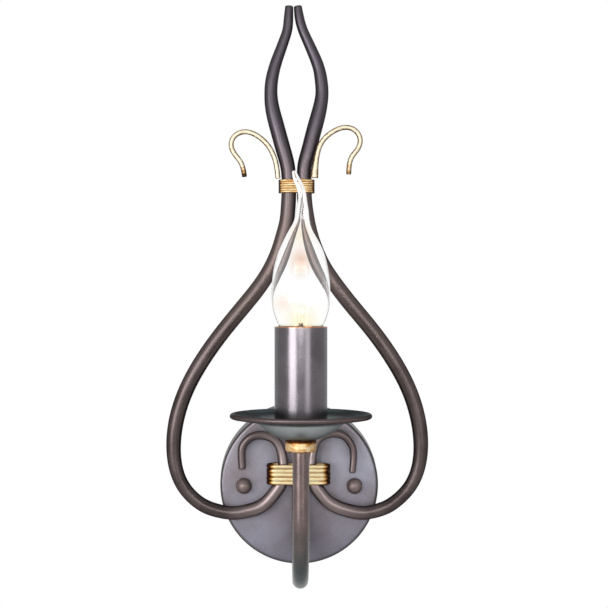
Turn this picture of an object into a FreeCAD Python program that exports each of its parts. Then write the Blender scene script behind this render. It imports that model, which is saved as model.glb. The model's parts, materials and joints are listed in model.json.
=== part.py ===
import FreeCAD, Part
import math
import os
import Sketcher

# Wall lamp: a round canopy carries a U-shaped arm with one candle, and two forged scroll rods behind it.
# Origin: centre of the canopy on the wall plane. +X right, -Y towards the room, +Z up. Millimetres.

SIZES = {
    # canopy and its fixing
    "canopy_radius": 54.0,
    "canopy_depth": 25.0,
    "canopy_sheet": 1.0,
    "canopy_draft": 1.0,
    "canopy_edge": 2.6,
    "stud_spacing": 74.0,
    "stud_radius": 1.9,
    "stud_hole_radius": 2.2,
    "stud_grip": 6.0,
    "knob_radius": 5.3,
    "knob_foot_radius": 3.4,
    "knob_wall": 1.4,
    "seat_gap": 0.3,
    # bracket on the wall
    "strap_length": 92.0,
    "strap_height": 16.0,
    "strap_sheet": 2.0,
    "wall_hole_spacing": 52.0,
    "wall_hole_radius": 2.25,
    "cable_hole_radius": 5.0,
    "tongue_width": 20.0,
    "tongue_height": 26.0,
    "stud_nut_width": 7.0,
    "stud_nut_height": 3.2,
    # terminal block and earth screw
    "block_width": 16.6,
    "block_height": 18.0,
    "block_depth": 12.0,
    "block_drop": 5.0,
    "pole_spacing": 8.3,
    "insert_radius": 2.1,
    "insert_bore": 1.35,
    "terminal_screw_radius": 1.3,
    "block_screw_radius": 1.25,
    "block_screw_head": 2.0,
    "earth_screw_place": 14.0,
    "earth_screw_radius": 2.0,
    "earth_head_radius": 4.4,
    "earth_head_height": 2.4,
    # nipple between arm and canopy
    "nipple_radius": 4.0,
    "nipple_bore": 3.0,
    "nipple_drop": 3.3,
    "nipple_inside": 10.0,
    "spacer_radius": 4.9,
    "nut_width": 13.0,
    "nut_height": 4.0,
    "washer_radius": 7.5,
    "washer_height": 1.2,
    "tag_radius": 6.4,
    "tag_sheet": 0.8,
    "tag_tail": 7.0,
    "tag_tail_width": 4.0,
    # arm
    "rod_standoff": 7.0,
    "arm_radius": 5.0,
    "arm_wall": 1.0,
    "arm_bend_radius": 46.0,
    "arm_bend_drop": 6.3,
    "arm_rear_top": 13.6,
    "fit_gap": 0.12,
    # collar, pan and candle
    "collar_height": 7.7,
    "collar_radius": 9.3,
    "collar_round": 2.3,
    "pan_floor_height": 40.8,
    "pan_radius": 42.6,
    "pan_sheet": 0.8,
    "pan_floor_radius": 10.4,
    "pan_bowl_radius": 26.0,
    "pan_bowl_depth": 9.7,
    "pan_bowl_curve": 36.0,
    "pan_rim_rise": 4.1,
    "pan_bead_radius": 1.5,
    "sleeve_radius": 15.8,
    "sleeve_wall": 0.9,
    # lampholder
    "holder_base_radius": 9.6,
    "holder_base_height": 8.5,
    "holder_radius": 12.2,
    "holder_top_drop": 14.0,
    "holder_wall": 4.2,
    "holder_rib_width": 1.6,
    "thread_engagement": 9.8,
    "chamber_radius": 8.0,
    "chamber_height": 11.5,
    "partition": 3.0,
    "shell_sheet": 0.5,
    "shell_lift": 3.0,
    "contact_head_radius": 3.6,
    "contact_stem_radius": 1.8,
    "contact_head_height": 1.2,
    # bulb
    "cap_radius": 6.95,
    "cap_height": 23.3,
    "cap_thread_pitch": 2.82,
    "cap_thread_depth": 0.45,
    "cap_sheet": 0.4,
    "button_radius": 2.3,
    "button_height": 1.0,
    "insulator_height": 2.6,
    "bulb_radius": 17.5,
    "glass_wall": 0.8,
    "glass_height": 107.0,
    "glass_tip_bend": 4.3,
    "stem_radius": 2.4,
    "stem_height": 16.0,
    "lead_radius": 0.3,
    "lead_spread": 5.5,
    "lead_height": 14.0,
    "filament_radius": 0.45,
    # scroll rods
    "rod_radius": 4.85,
    "rod_gap": 0.5,
    "rod_top_height": 320.0,
    "flame_half_width": 17.0,
    "bow_half_width": 82.3,
    "bow_height": 26.4,
    "loop_depth": 17.1,
    "lower_rod_offset": 9.65,
    "crook_reach": 37.1,
    "crook_rise": 26.2,
    "frame_lean": 2.0,
    # bindings
    "upper_binding_height": 199.7,
    "upper_wire_radius": 0.52,
    "upper_wire_pitch": 1.46,
    "upper_binding_slack": 0.8,
    "lower_binding_height": 8.45,
    "lower_wire_radius": 0.65,
    "lower_wire_pitch": 1.75,
    "lower_binding_half_width": 21.3,
    "binding_gap": 0.3,
    # gilded hooks
    "hook_radius": 1.68,
    "hook_forward": 4.4,
    "hook_foot_half_width": 11.07,
    "hook_reach": 32.6,
    "hook_rise": 30.0,
    "hook_gap": 0.12,
    # wires
    "wire_radius": 1.0,
    "wire_spacing": 2.3,
    "wire_bend_radius": 3.0,
    "wire_turn_radius": 4.0,
}

UPPER_TURNS = 5.5
LOWER_TURNS = 7
NUT_SIDES = 6
CAP_THREADS = 6
RIB_COUNT = 4
BAR_SLICES = 2
WIRE_SIDES = 8

# Flame of a scroll rod, from the tip down: height, half width, lean and thickness shares.
FLAME_SHARES = (
    (1.0, -0.19, 1.95, 0.55),
    (0.92, -0.105, 1.7, 0.664),
    (0.865, 0.01, 1.4, 0.685),
    (0.81, 0.22, 1.2, 0.717),
    (0.755, 0.445, 1.05, 0.754),
    (0.7, 0.665, 0.95, 0.796),
    (0.643, 0.846, 0.9, 0.834),
    (0.588, 0.952, 0.95, 0.878),
    (0.52, 1.0, 0.95, 0.901),
    (0.45, 0.93, 1.05, 0.97),
    (0.367, 0.735, 1.1, 1.045),
    (0.284, 0.508, 1.1, 1.055),
    (0.2, 0.279, 1.05, 1.055),
    (0.118, 0.06, 1.05, 1.02),
)

# Heart-shaped bow, from the upper binding down to its widest line: the same four shares.
BOW_SHARES = (
    (0.967, 0.001, 0.9, 1.02),
    (0.909, 0.011, 0.8, 1.02),
    (0.863, 0.026, 0.7, 1.02),
    (0.814, 0.053, 0.75, 1.02),
    (0.756, 0.095, 0.65, 1.03),
    (0.698, 0.152, 0.56, 1.05),
    (0.641, 0.229, 0.4, 1.07),
    (0.564, 0.359, 0.4, 1.09),
    (0.449, 0.571, 0.4, 1.08),
    (0.334, 0.755, 0.45, 1.08),
    (0.219, 0.894, 0.55, 1.065),
    (0.104, 0.976, 0.65, 1.055),
    (0.0, 1.0, 0.7, 1.01),
)

# Lower loop, from the widest line round to the lower binding: drop, half width, lean and thickness shares.
LOOP_SHARES = (
    (0.274, 0.984, 0.75, 0.965),
    (0.579, 0.915, 0.85, 0.93),
    (0.827, 0.781, 0.95, 0.93),
    (0.904, 0.712, 0.9, 0.94),
    (0.98, 0.59, 0.75, 0.94),
    (1.012, 0.469, 0.4, 0.92),
    (0.982, 0.339, 0.3, 0.93),
    (0.905, 0.228, 0.35, 0.93),
    (0.809, 0.142, 0.45, 0.92),
    (0.698, 0.076, 0.55, 0.92),
    (0.579, 0.027, 0.6, 0.9),
)

# Crooks in front of the canopy, from the lower binding to the end: reach, rise and thickness shares.
LEFT_CROOK_SHARES = (
    (0.002, 0.309, 0.7),
    (0.06, 0.611, 0.64),
    (0.191, 0.844, 0.6),
    (0.359, 0.947, 0.58),
    (0.566, 0.981, 0.57),
    (0.752, 0.939, 0.56),
    (0.894, 0.832, 0.55),
    (0.99, 0.668, 0.54),
    (1.006, 0.443, 0.52),
    (0.989, 0.118, 0.5),
)
RIGHT_CROOK_SHARES = (
    (-0.002, 0.309, 0.6),
    (0.05, 0.65, 0.57),
    (0.17, 0.89, 0.56),
    (0.362, 1.0, 0.55),
    (0.596, 1.019, 0.54),
    (0.8, 0.943, 0.52),
    (0.92, 0.802, 0.5),
    (0.985, 0.664, 0.48),
    (1.011, 0.485, 0.47),
    (1.0, 0.282, 0.46),
    (0.978, 0.027, 0.45),
)
LOWER_THICKNESS_SHARES = {-1: 0.8, 1: 0.72}
LOWER_LEAN_SHARE = 0.6
LOWER_BINDING_LEAN_SHARE = 0.3
CROOK_LEAN_SHARE = 0.6
UPPER_LEAN_SHARE = 0.9

# Gilded hooks, from the foot to the end: reach and rise shares.
LEFT_HOOK_SHARES = (
    (0.04, -0.034),
    (0.1, 0.38),
    (0.24, 0.69),
    (0.474, 0.92),
    (0.71, 1.0),
    (0.93, 0.9),
    (0.995, 0.72),
    (0.93, 0.52),
    (0.8, 0.325),
    (0.722, 0.0),
)
RIGHT_HOOK_SHARES = (
    (0.004, -0.025),
    (0.075, 0.46),
    (0.18, 0.775),
    (0.395, 0.99),
    (0.625, 1.085),
    (0.83, 1.035),
    (0.95, 0.835),
    (0.9, 0.61),
    (0.785, 0.44),
    (0.73, 0.24),
    (0.718, 0.05),
)
HOOK_FOOT_SHARES = {-1: 1.0, 1: 1.55}
HOOK_FORWARD_SHARES = {-1: 0.45, 1: 1.0}

# Glass of the candle bulb: height and radius shares, and the tip's bend share.
GLASS_SHARES = (
    (0.0, 0.42, 0.0),
    (0.028, 0.45, 0.0),
    (0.07, 0.57, 0.0),
    (0.128, 0.755, 0.0),
    (0.2, 0.92, 0.0),
    (0.27, 0.99, 0.0),
    (0.335, 1.0, 0.0),
    (0.44, 0.94, 0.0),
    (0.565, 0.725, 0.0),
    (0.65, 0.455, 0.0),
    (0.715, 0.275, -0.12),
    (0.785, 0.21, -0.19),
    (0.825, 0.172, -0.12),
    (0.9, 0.142, 0.07),
    (0.96, 0.105, 0.7),
    (1.0, 0.07, 1.0),
)
GLASS_CAVITY_END_SHARE = 0.78

doc = FreeCAD.newDocument("WallLamp")
sheet = doc.addObject("Spreadsheet::Sheet", "Sizes")
PARTS = []


class Size:
    """A length: its value now, and the formula that binds it to the sheet."""

    def __init__(self, value, formula):
        self.value = value
        self.formula = formula

    def joined(self, sign, other, value):
        text = other.formula if isinstance(other, Size) else str(other)
        return Size(value, "(%s %s %s)" % (self.formula, sign, text))

    def __add__(self, other):
        return self.joined("+", other, self.value + plain(other))

    def __sub__(self, other):
        return self.joined("-", other, self.value - plain(other))

    def __mul__(self, other):
        return self.joined("*", other, self.value * plain(other))

    def __truediv__(self, other):
        return self.joined("/", other, self.value / plain(other))

    def __neg__(self):
        return Size(-self.value, "(0 - %s)" % self.formula)


def plain(size):
    """The number of a size, or the number itself."""
    return size.value if isinstance(size, Size) else size


def fill_sheet():
    """Writes each named size into its own row of the sheet and returns them as sizes."""
    for row, (name, value) in enumerate(SIZES.items(), start=1):
        sheet.set("A%d" % row, name)
        sheet.set("B%d" % row, str(value))
        sheet.setAlias("B%d" % row, name)
    doc.recompute()
    return {name: Size(value, "Sizes.%s" % name) for name, value in SIZES.items()}


S = fill_sheet()
ZERO = Size(0, "0")

# Places that several pieces share.
FRAME_Y = -(S["canopy_depth"] + S["rod_standoff"])
CANDLE_Y = FRAME_Y - S["arm_bend_radius"] * 2
STUD_X = S["stud_spacing"] / 2
INNER_FACE_Y = -(S["canopy_depth"] - S["canopy_sheet"])
PAN_TOP = S["pan_floor_height"] + S["pan_sheet"]
CHAMBER_BOTTOM = PAN_TOP + S["thread_engagement"]
CHAMBER_TOP = CHAMBER_BOTTOM + S["chamber_height"]
PARTITION_TOP = CHAMBER_TOP + S["partition"]
CONTACT_TOP = PARTITION_TOP + S["contact_head_height"]
BUTTON_BOTTOM = CONTACT_TOP + S["seat_gap"]
CAP_BOTTOM = BUTTON_BOTTOM + S["button_height"] + S["insulator_height"]
GLASS_BOTTOM = CAP_BOTTOM + S["cap_height"]
HOLDER_TOP = GLASS_BOTTOM - S["seat_gap"]
SLEEVE_TOP = HOLDER_TOP + S["holder_top_drop"]
UPPER_OFFSET = S["rod_radius"] + S["rod_gap"] / 2
ARM_TOP = CHAMBER_BOTTOM - S["seat_gap"]


def bind(thing, prop, size):
    """Binds one property of a document object to the sheet."""
    thing.setExpression(prop, size.formula)


def place(thing, x, y, z):
    """Binds the three coordinates of an object's placement."""
    bind(thing, ".Placement.Base.x", x)
    bind(thing, ".Placement.Base.y", y)
    bind(thing, ".Placement.Base.z", z)
    return thing


def keep(thing, name):
    """Marks a finished sub-part: its label names its file."""
    thing.Label = name
    PARTS.append(thing)
    return thing


def new_body(name):
    return doc.addObject("PartDesign::Body", name + "_body")


def origin_feature(body, role):
    return [feature for feature in body.Origin.OriginFeatures if feature.Role == role][0]


def outline(body, plane, name, corners):
    """A closed sketch through corners (u, v) or (u, v, radius, side), in order.

    A corner with a radius starts an arc to the next one; side 1 bulges to the left of the way there, -1 to the right.
    """
    sketch = body.newObject("Sketcher::SketchObject", name)
    sketch.AttachmentSupport = [(origin_feature(body, plane), "")]
    sketch.MapMode = "FlatFace"
    ends = []
    for corner, following in zip(corners, corners[1:] + corners[:1]):
        start = FreeCAD.Vector(corner[0].value, corner[1].value, 0)
        end = FreeCAD.Vector(following[0].value, following[1].value, 0)
        if len(corner) == 2:
            index = sketch.addGeometry(Part.LineSegment(start, end), False)
            ends.append((index, 1, 2))
            continue
        radius, side = corner[2], corner[3]
        index = sketch.addGeometry(sketch_arc(start, end, radius.value, side), False)
        ends.append((index, 1, 2) if side < 0 else (index, 2, 1))
        bind_sketch(sketch, Sketcher.Constraint("Radius", index, radius.value), radius)
    for number, corner in enumerate(corners):
        index, first, _ = ends[number]
        before, _, last = ends[number - 1]
        sketch.addConstraint(Sketcher.Constraint("Coincident", before, last, index, first))
        for kind, size in (("DistanceX", corner[0]), ("DistanceY", corner[1])):
            bind_sketch(sketch, Sketcher.Constraint(kind, -1, 1, index, first, size.value), size)
    return sketch


def bind_sketch(sketch, constraint, size):
    """Adds a constraint whose value follows a size."""
    index = sketch.addConstraint(constraint)
    sketch.setExpression("Constraints[%d]" % index, size.formula)


def sketch_arc(start, end, radius, side):
    """The short arc between two points of a sketch, on the given side of the way between them."""
    chord = end - start
    half = chord.Length / 2
    towards = FreeCAD.Vector(-chord.y, chord.x, 0).normalize()
    centre = (start + end) / 2 - towards * side * math.sqrt(max(radius * radius - half * half, 0))
    first, last = (end, start) if side > 0 else (start, end)
    angles = [math.atan2(point.y - centre.y, point.x - centre.x) for point in (first, last)]
    if angles[1] < angles[0]:
        angles[1] += 2 * math.pi
    circle = Part.Circle(centre, FreeCAD.Vector(0, 0, 1), radius)
    return Part.ArcOfCircle(circle, angles[0], angles[1])


def revolved(name, plane, axis, corners):
    """A body turned from one outline about an axis of its sketch."""
    body = new_body(name)
    sketch = outline(body, plane, name + "_profile", corners)
    turn = body.newObject("PartDesign::Revolution", name + "_turn")
    turn.Profile = sketch
    turn.ReferenceAxis = (sketch, [axis])
    turn.Angle = 360
    return body


def padded(body, name, sketch, length, reverse=False):
    """A pad of a sketch by a bound length."""
    pad = body.newObject("PartDesign::Pad", name)
    pad.Profile = sketch
    pad.Reversed = reverse
    bind(pad, "Length", length)
    return pad


def drilled(body, name, plane, holes, depth=None, start=None):
    """Round pockets, each (u, v, radius), through the body, or to a bound depth from a bound start."""
    sketch = body.newObject("Sketcher::SketchObject", name + "_circles")
    sketch.AttachmentSupport = [(origin_feature(body, plane), "")]
    sketch.MapMode = "FlatFace"
    for u, v, radius in holes:
        centre = FreeCAD.Vector(u.value, v.value, 0)
        index = sketch.addGeometry(Part.Circle(centre, FreeCAD.Vector(0, 0, 1), radius.value), False)
        bind_sketch(sketch, Sketcher.Constraint("Radius", index, radius.value), radius)
        bind_sketch(sketch, Sketcher.Constraint("DistanceX", -1, 1, index, 3, u.value), u)
        bind_sketch(sketch, Sketcher.Constraint("DistanceY", -1, 1, index, 3, v.value), v)
    pocket = body.newObject("PartDesign::Pocket", name)
    pocket.Profile = sketch
    if depth is None:
        pocket.Type = "ThroughAll"
        pocket.Midplane = True
    else:
        sketch.setExpression(".AttachmentOffset.Base.z", start.formula)
        bind(pocket, "Length", depth)
    return pocket


def rounded_edges(body, name, chosen, radius):
    """A fillet of the body's edges that the test picks."""
    doc.recompute()
    base = body.Tip
    edges = ["Edge%d" % number for number, edge in enumerate(base.Shape.Edges, start=1) if chosen(edge)]
    fillet = body.newObject("PartDesign::Fillet", name)
    fillet.Base = (base, edges)
    bind(fillet, "Radius", radius)
    return fillet


def near(value, size):
    """Whether a measured length is the size, within a thousandth of the canopy's sheet."""
    return abs(value - plain(size)) < plain(S["canopy_sheet"]) / 1000


def cylinder(name, radius, height, x, y, z, along="z"):
    """A Part cylinder with bound sizes, standing along z, or lying along -y."""
    thing = doc.addObject("Part::Cylinder", name)
    bind(thing, "Radius", radius)
    bind(thing, "Height", height)
    if along == "y":
        thing.Placement.Rotation = FreeCAD.Rotation(FreeCAD.Vector(1, 0, 0), 90)
    return place(thing, x, y, z)


def prism(name, width, height, x, y, z, along="z"):
    """A hexagonal prism with bound width across its flats."""
    thing = doc.addObject("Part::Prism", name)
    thing.Polygon = NUT_SIDES
    bind(thing, "Circumradius", width / 2 / math.cos(math.pi / NUT_SIDES))
    bind(thing, "Height", height)
    if along == "y":
        thing.Placement.Rotation = FreeCAD.Rotation(FreeCAD.Vector(1, 0, 0), 90)
    return place(thing, x, y, z)


def cut(name, base, tool):
    thing = doc.addObject("Part::Cut", name)
    thing.Base = base
    thing.Tool = tool
    return thing


def fused(name, shapes):
    thing = doc.addObject("Part::MultiFuse", name)
    thing.Shapes = shapes
    return thing


def group(name, things):
    """Several like solids as one sub-part."""
    thing = doc.addObject("Part::Compound", name)
    thing.Links = things
    return thing


def free_shape(name, shape, x=ZERO, y=ZERO, z=ZERO):
    """A Part feature whose shape comes from Part's own functions."""
    thing = doc.addObject("Part::Feature", name)
    thing.Shape = shape
    return keep(place(thing, x, y, z), name)


def tapered_bar(points, radii, normal):
    """A round bar through points: circles across a smooth centre line that lies in one plane, joined in turn."""
    line = Part.BSplineCurve()
    line.interpolate(points)
    stops = [line.parameter(point) for point in points]
    rings = []
    for number in range(len(stops) - 1):
        for piece in range(BAR_SLICES):
            share = piece / BAR_SLICES
            stop = stops[number] + (stops[number + 1] - stops[number]) * share
            rings.append(ring(line, stop, eased(radii, number, share), normal))
    rings.append(ring(line, stops[-1], radii[-1], normal))
    return Part.makeLoft(rings, True, True)


def eased(values, number, share):
    """A value between two neighbours of a list, on the smooth curve through the four nearest."""
    before = values[max(number - 1, 0)]
    first, second = values[number], values[number + 1]
    after = values[min(number + 2, len(values) - 1)]
    slope = (second - before) * share
    curve = (2 * before - 5 * first + 4 * second - after) * share**2
    twist = (3 * first - before - 3 * second + after) * share**3
    return first + (slope + curve + twist) / 2


def ring(line, stop, radius, normal):
    """One circle across a line, with its seam always towards the plane's normal."""
    across = line.tangent(stop)[0]
    circle = Part.Circle(FreeCAD.Vector(0, 0, 0), FreeCAD.Vector(0, 0, 1), radius)
    edge = circle.toShape()
    edge.Placement = FreeCAD.Placement(line.value(stop), FreeCAD.Rotation(normal, across.cross(normal), across, "XZY"))
    return Part.Wire([edge])


def arc_edge(start, turn_point, end):
    """The arc from start to end whose end tangents meet at the turn point."""
    middle = (start + end) / 2
    half = (end - start).Length / 2
    rise = turn_point - middle
    sagitta = half * math.tan(math.atan2(rise.Length, half) / 2)
    return Part.Arc(start, middle + rise.normalize() * sagitta, end).toShape()


def biarc(start, start_way, end, end_way):
    """Two tangent arcs between two points with given directions."""
    chord = end - start
    both = start_way + end_way
    spread = 2 * (1 - start_way.dot(end_way))
    reach = (-chord.dot(both) + math.sqrt(chord.dot(both) ** 2 + spread * chord.dot(chord))) / spread
    joint = (start + end + (start_way - end_way) * reach) / 2
    return [arc_edge(start, start + start_way * reach, joint), arc_edge(joint, end - end_way * reach, end)]


def winding(turns, pitch, end_centre, end_radius):
    """The centre line of a wire wound round a long slot shape, level with the XY plane, round the origin.

    The straight runs climb at a steady rate, and each end is half a turn of helix, as two biarcs.
    """
    straight = 2 * end_centre
    lap = 2 * straight + 2 * math.pi * end_radius
    slope = pitch / lap
    steep = 1 / math.hypot(1, slope)

    def way(x, y):
        return FreeCAD.Vector(x * steep, y * steep, slope * steep)

    # Stations of one lap: place, direction, and the way gone along the lap.
    quarter = math.pi * end_radius / 2
    lap_stations = (
        ((-end_centre, -end_radius), (1, 0), 0),
        ((end_centre, -end_radius), (1, 0), straight),
        ((end_centre + end_radius, 0), (0, 1), straight + quarter),
        ((end_centre, end_radius), (-1, 0), straight + 2 * quarter),
        ((-end_centre, end_radius), (-1, 0), 2 * straight + 2 * quarter),
        ((-end_centre - end_radius, 0), (0, -1), 2 * straight + 3 * quarter),
    )
    bottom = -turns * pitch / 2
    stations = []
    for lap_number in range(math.ceil(turns)):
        for (x, y), direction, gone in lap_stations:
            height = bottom + (lap_number + gone / lap) * pitch
            stations.append((FreeCAD.Vector(x, y, height), way(*direction)))
    steps = round(turns * len(lap_stations))
    stations.append((FreeCAD.Vector(-end_centre, -end_radius, bottom + math.ceil(turns) * pitch), way(1, 0)))
    edges = []
    for (start, start_way), (end, end_way) in list(zip(stations, stations[1:]))[:steps]:
        if (end - start).normalize().dot(start_way) > 1 - slope * slope / 1000:
            edges.append(Part.LineSegment(start, end).toShape())
        else:
            edges += biarc(start, start_way, end, end_way)
    return edges


def wire_along(edges, radius):
    """A wire swept along tangent edges; its section has a few flats, inside the round one."""
    start = edges[0].Vertexes[0].Point
    along = edges[0].tangentAt(edges[0].FirstParameter)
    turn = FreeCAD.Rotation(FreeCAD.Vector(0, 0, 1), along)
    angles = [2 * math.pi * (side + 0.5) / WIRE_SIDES for side in range(WIRE_SIDES)]
    corners = [
        start + turn.multVec(FreeCAD.Vector(radius * math.cos(angle), radius * math.sin(angle), 0))
        for angle in angles
    ]
    section = Part.makePolygon(corners + corners[:1])
    return Part.Wire(edges).makePipeShell([section], True, False)


def rounded_route(points, radii):
    """Straight runs between points, joined by tangent arcs of the given radii."""
    edges = []
    place_now = points[0]
    for before, corner, after, radius in zip(points, points[1:], points[2:], radii):
        into = (corner - before).normalize()
        out = (after - corner).normalize()
        reach = radius * math.tan(into.getAngle(out) / 2)
        first, last = corner - into * reach, corner + out * reach
        if (first - place_now).Length > radius / 1000:
            edges.append(Part.LineSegment(place_now, first).toShape())
        edges.append(arc_edge(first, corner, last))
        place_now = last
    edges.append(Part.LineSegment(place_now, points[-1]).toShape())
    return edges


def millimetres(*names):
    """The plain numbers of sizes, for a shape made with Part's own functions."""
    return [plain(S[name]) for name in names]


def make_backplate():
    """Pressed steel canopy, open towards the wall."""
    radius, depth, sheet_metal, draft = (
        S[name] for name in ("canopy_radius", "canopy_depth", "canopy_sheet", "canopy_draft")
    )
    body = revolved(
        "backplate",
        "YZ_Plane",
        "H_Axis",
        [
            (ZERO, radius),
            (-depth, radius - draft),
            (-depth, ZERO),
            (INNER_FACE_Y, ZERO),
            (INNER_FACE_Y, radius - draft - sheet_metal),
            (ZERO, radius - sheet_metal),
        ],
    )
    face_radius = radius - draft
    rounded_edges(
        body,
        "backplate_outer_round",
        lambda edge: is_ring(edge, face_radius) and near(edge.CenterOfMass.y, -depth),
        S["canopy_edge"],
    )
    rounded_edges(
        body,
        "backplate_inner_round",
        lambda edge: is_ring(edge, face_radius - sheet_metal) and near(edge.CenterOfMass.y, INNER_FACE_Y),
        S["canopy_edge"] - sheet_metal,
    )
    holes = [(ZERO, -S["nipple_drop"], S["nipple_radius"] + S["fit_gap"])]
    holes += [(STUD_X * side, ZERO, S["stud_hole_radius"]) for side in (-1, 1)]
    drilled(body, "backplate_holes", "XZ_Plane", holes)
    keep(body, "backplate")


def is_ring(edge, radius):
    """Whether an edge is a full circle of this radius."""
    return hasattr(edge.Curve, "Radius") and edge.isClosed() and near(edge.Curve.Radius, radius)


def make_wall_bracket():
    """Steel strap with rounded ends and an upright tongue for the terminal block."""
    body = new_body("wall_bracket")
    half = S["strap_height"] / 2
    end = S["strap_length"] / 2 - half
    tongue = S["tongue_width"] / 2
    top = half + S["tongue_height"]
    corners = [
        (-end, -half),
        (end, -half, half, -1),
        (end + half, ZERO, half, -1),
        (end, half),
        (tongue, half),
        (tongue, top),
        (-tongue, top),
        (-tongue, half),
        (-end, half, half, -1),
        (-end - half, ZERO, half, -1),
    ]
    sketch = outline(body, "XZ_Plane", "wall_bracket_outline", corners)
    padded(body, "wall_bracket_sheet", sketch, S["strap_sheet"])
    wall_hole_x = S["wall_hole_spacing"] / 2
    fit = S["fit_gap"]
    holes = [(ZERO, ZERO, S["cable_hole_radius"])]
    holes += [(wall_hole_x * side, ZERO, S["wall_hole_radius"]) for side in (-1, 1)]
    holes += [(STUD_X * side, ZERO, S["stud_radius"] + fit) for side in (-1, 1)]
    holes.append((-S["earth_screw_place"], ZERO, S["earth_screw_radius"] + fit))
    holes.append((ZERO, BLOCK_MIDDLE, S["block_screw_radius"] + fit))
    drilled(body, "wall_bracket_holes", "XZ_Plane", holes)
    keep(body, "wall_bracket")


BLOCK_BOTTOM = S["strap_height"] / 2 + S["block_drop"]
BLOCK_MIDDLE = BLOCK_BOTTOM + S["block_height"] / 2
BLOCK_Y = -(S["strap_sheet"] + S["block_depth"] / 2)


def make_fixing():
    """Studs on the bracket, their lock nuts, and the two ball nuts that hold the canopy."""
    stud_length = S["canopy_depth"] + S["seat_gap"] + S["stud_grip"]
    nut_y = -S["strap_sheet"]
    studs, nuts = [], []
    for side, word in ((-1, "left"), (1, "right")):
        x = STUD_X * side
        studs.append(cylinder(word + "_stud", S["stud_radius"], stud_length, x, ZERO, ZERO, "y"))
        hexagon = prism(word + "_nut_hexagon", S["stud_nut_width"], S["stud_nut_height"], x, nut_y, ZERO, "y")
        bore = cylinder(
            word + "_nut_bore", S["stud_radius"] + S["fit_gap"], S["stud_nut_height"], x, nut_y, ZERO, "y"
        )
        nuts.append(cut(word + "_stud_nut", hexagon, bore))
    keep(group("stud_pair", studs), "bracket_studs")
    keep(group("nut_pair", nuts), "stud_lock_nuts")
    for side, word in ((-1, "left"), (1, "right")):
        make_knob(word + "_knob", STUD_X * side)


def make_knob(name, x):
    """Ball cap nut: a ball with a flat foot and a blind bore, turned about its own stud."""
    ball, foot = S["knob_radius"], S["knob_foot_radius"]
    centre = Size(
        math.sqrt(ball.value**2 - foot.value**2), "sqrt(%s ^ 2 - %s ^ 2)" % (ball.formula, foot.formula)
    )
    bore = S["stud_hole_radius"]
    bore_depth = S["stud_grip"] + S["knob_wall"] / 2
    body = revolved(
        name,
        "YZ_Plane",
        "H_Axis",
        [
            (ZERO, foot, ball, -1),
            (-centre, ball, ball, -1),
            (-centre - ball, ZERO),
            (-bore_depth, ZERO),
            (-bore_depth, bore),
            (ZERO, bore),
        ],
    )
    place(body, x, -(S["canopy_depth"] + S["seat_gap"]), ZERO)
    keep(body, name)


def make_terminals():
    """Two-pole terminal block with brass inserts and screws, and the earth screw."""
    body = new_body("terminal_block")
    half = S["block_width"] / 2
    back = -S["strap_sheet"]
    front = back - S["block_depth"]
    corners = [(-half, back), (-half, front), (half, front), (half, back)]
    sketch = outline(body, "XY_Plane", "terminal_block_outline", corners)
    padded(body, "terminal_block_body", sketch, S["block_height"])
    poles = [S["pole_spacing"] / 2 * side for side in (-1, 1)]
    fit = S["fit_gap"]
    drilled(body, "terminal_block_bores", "XY_Plane", [(x, BLOCK_Y, S["insert_radius"] + fit) for x in poles])
    screw_rows = [S["block_height"] / 4, S["block_height"] * 3 / 4]
    holes = [(x, row, S["terminal_screw_radius"] + fit) for x in poles for row in screw_rows]
    drilled(body, "terminal_block_screw_bores", "XZ_Plane", holes, S["block_depth"] / 2, -front)
    drilled(
        body, "terminal_block_fixing", "XZ_Plane", [(ZERO, S["block_height"] / 2, S["block_screw_radius"] + fit)]
    )
    place(body, ZERO, ZERO, BLOCK_BOTTOM)
    keep(body, "terminal_block")
    inserts, screws = [], []
    screw_tip = BLOCK_Y - S["wire_radius"] - fit
    for side, word in ((-1, "left"), (1, "right")):
        x = S["pole_spacing"] / 2 * side
        tube = cylinder(word + "_insert_tube", S["insert_radius"], S["block_height"], x, BLOCK_Y, BLOCK_BOTTOM)
        bore = cylinder(word + "_insert_bore", S["insert_bore"], S["block_height"], x, BLOCK_Y, BLOCK_BOTTOM)
        insert = cut(word + "_insert_hollow", tube, bore)
        for number, row in enumerate(screw_rows):
            z = BLOCK_BOTTOM + row
            label = "%s_%d" % (word, number)
            hole = cylinder(
                label + "_insert_hole", S["terminal_screw_radius"] + fit, S["block_depth"], x, BLOCK_Y, z, "y"
            )
            insert = cut(label + "_insert", insert, hole)
            length = screw_tip + S["strap_sheet"] + S["block_depth"]
            screws.append(cylinder(label + "_screw", S["terminal_screw_radius"], length, x, screw_tip, z, "y"))
        inserts.append(insert)
    keep(group("insert_pair", inserts), "terminal_inserts")
    keep(group("screw_set", screws), "terminal_screws")
    shank = cylinder(
        "block_screw_shank",
        S["block_screw_radius"],
        S["strap_sheet"] + S["block_depth"],
        ZERO,
        ZERO,
        BLOCK_MIDDLE,
        "y",
    )
    head = cylinder(
        "block_screw_cap",
        S["block_screw_head"],
        S["block_screw_radius"],
        ZERO,
        front,
        BLOCK_MIDDLE,
        "y",
    )
    keep(fused("block_screw_whole", [shank, head]), "block_screw")
    clamp_y = -(S["strap_sheet"] + S["wire_radius"] * 2 + fit * 2)
    x = -S["earth_screw_place"]
    shank = cylinder("earth_screw_shank", S["earth_screw_radius"], -clamp_y, x, ZERO, ZERO, "y")
    head = cylinder("earth_screw_cap", S["earth_head_radius"], S["earth_head_height"], x, clamp_y, ZERO, "y")
    keep(fused("earth_screw_whole", [shank, head]), "earth_screw")


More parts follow.
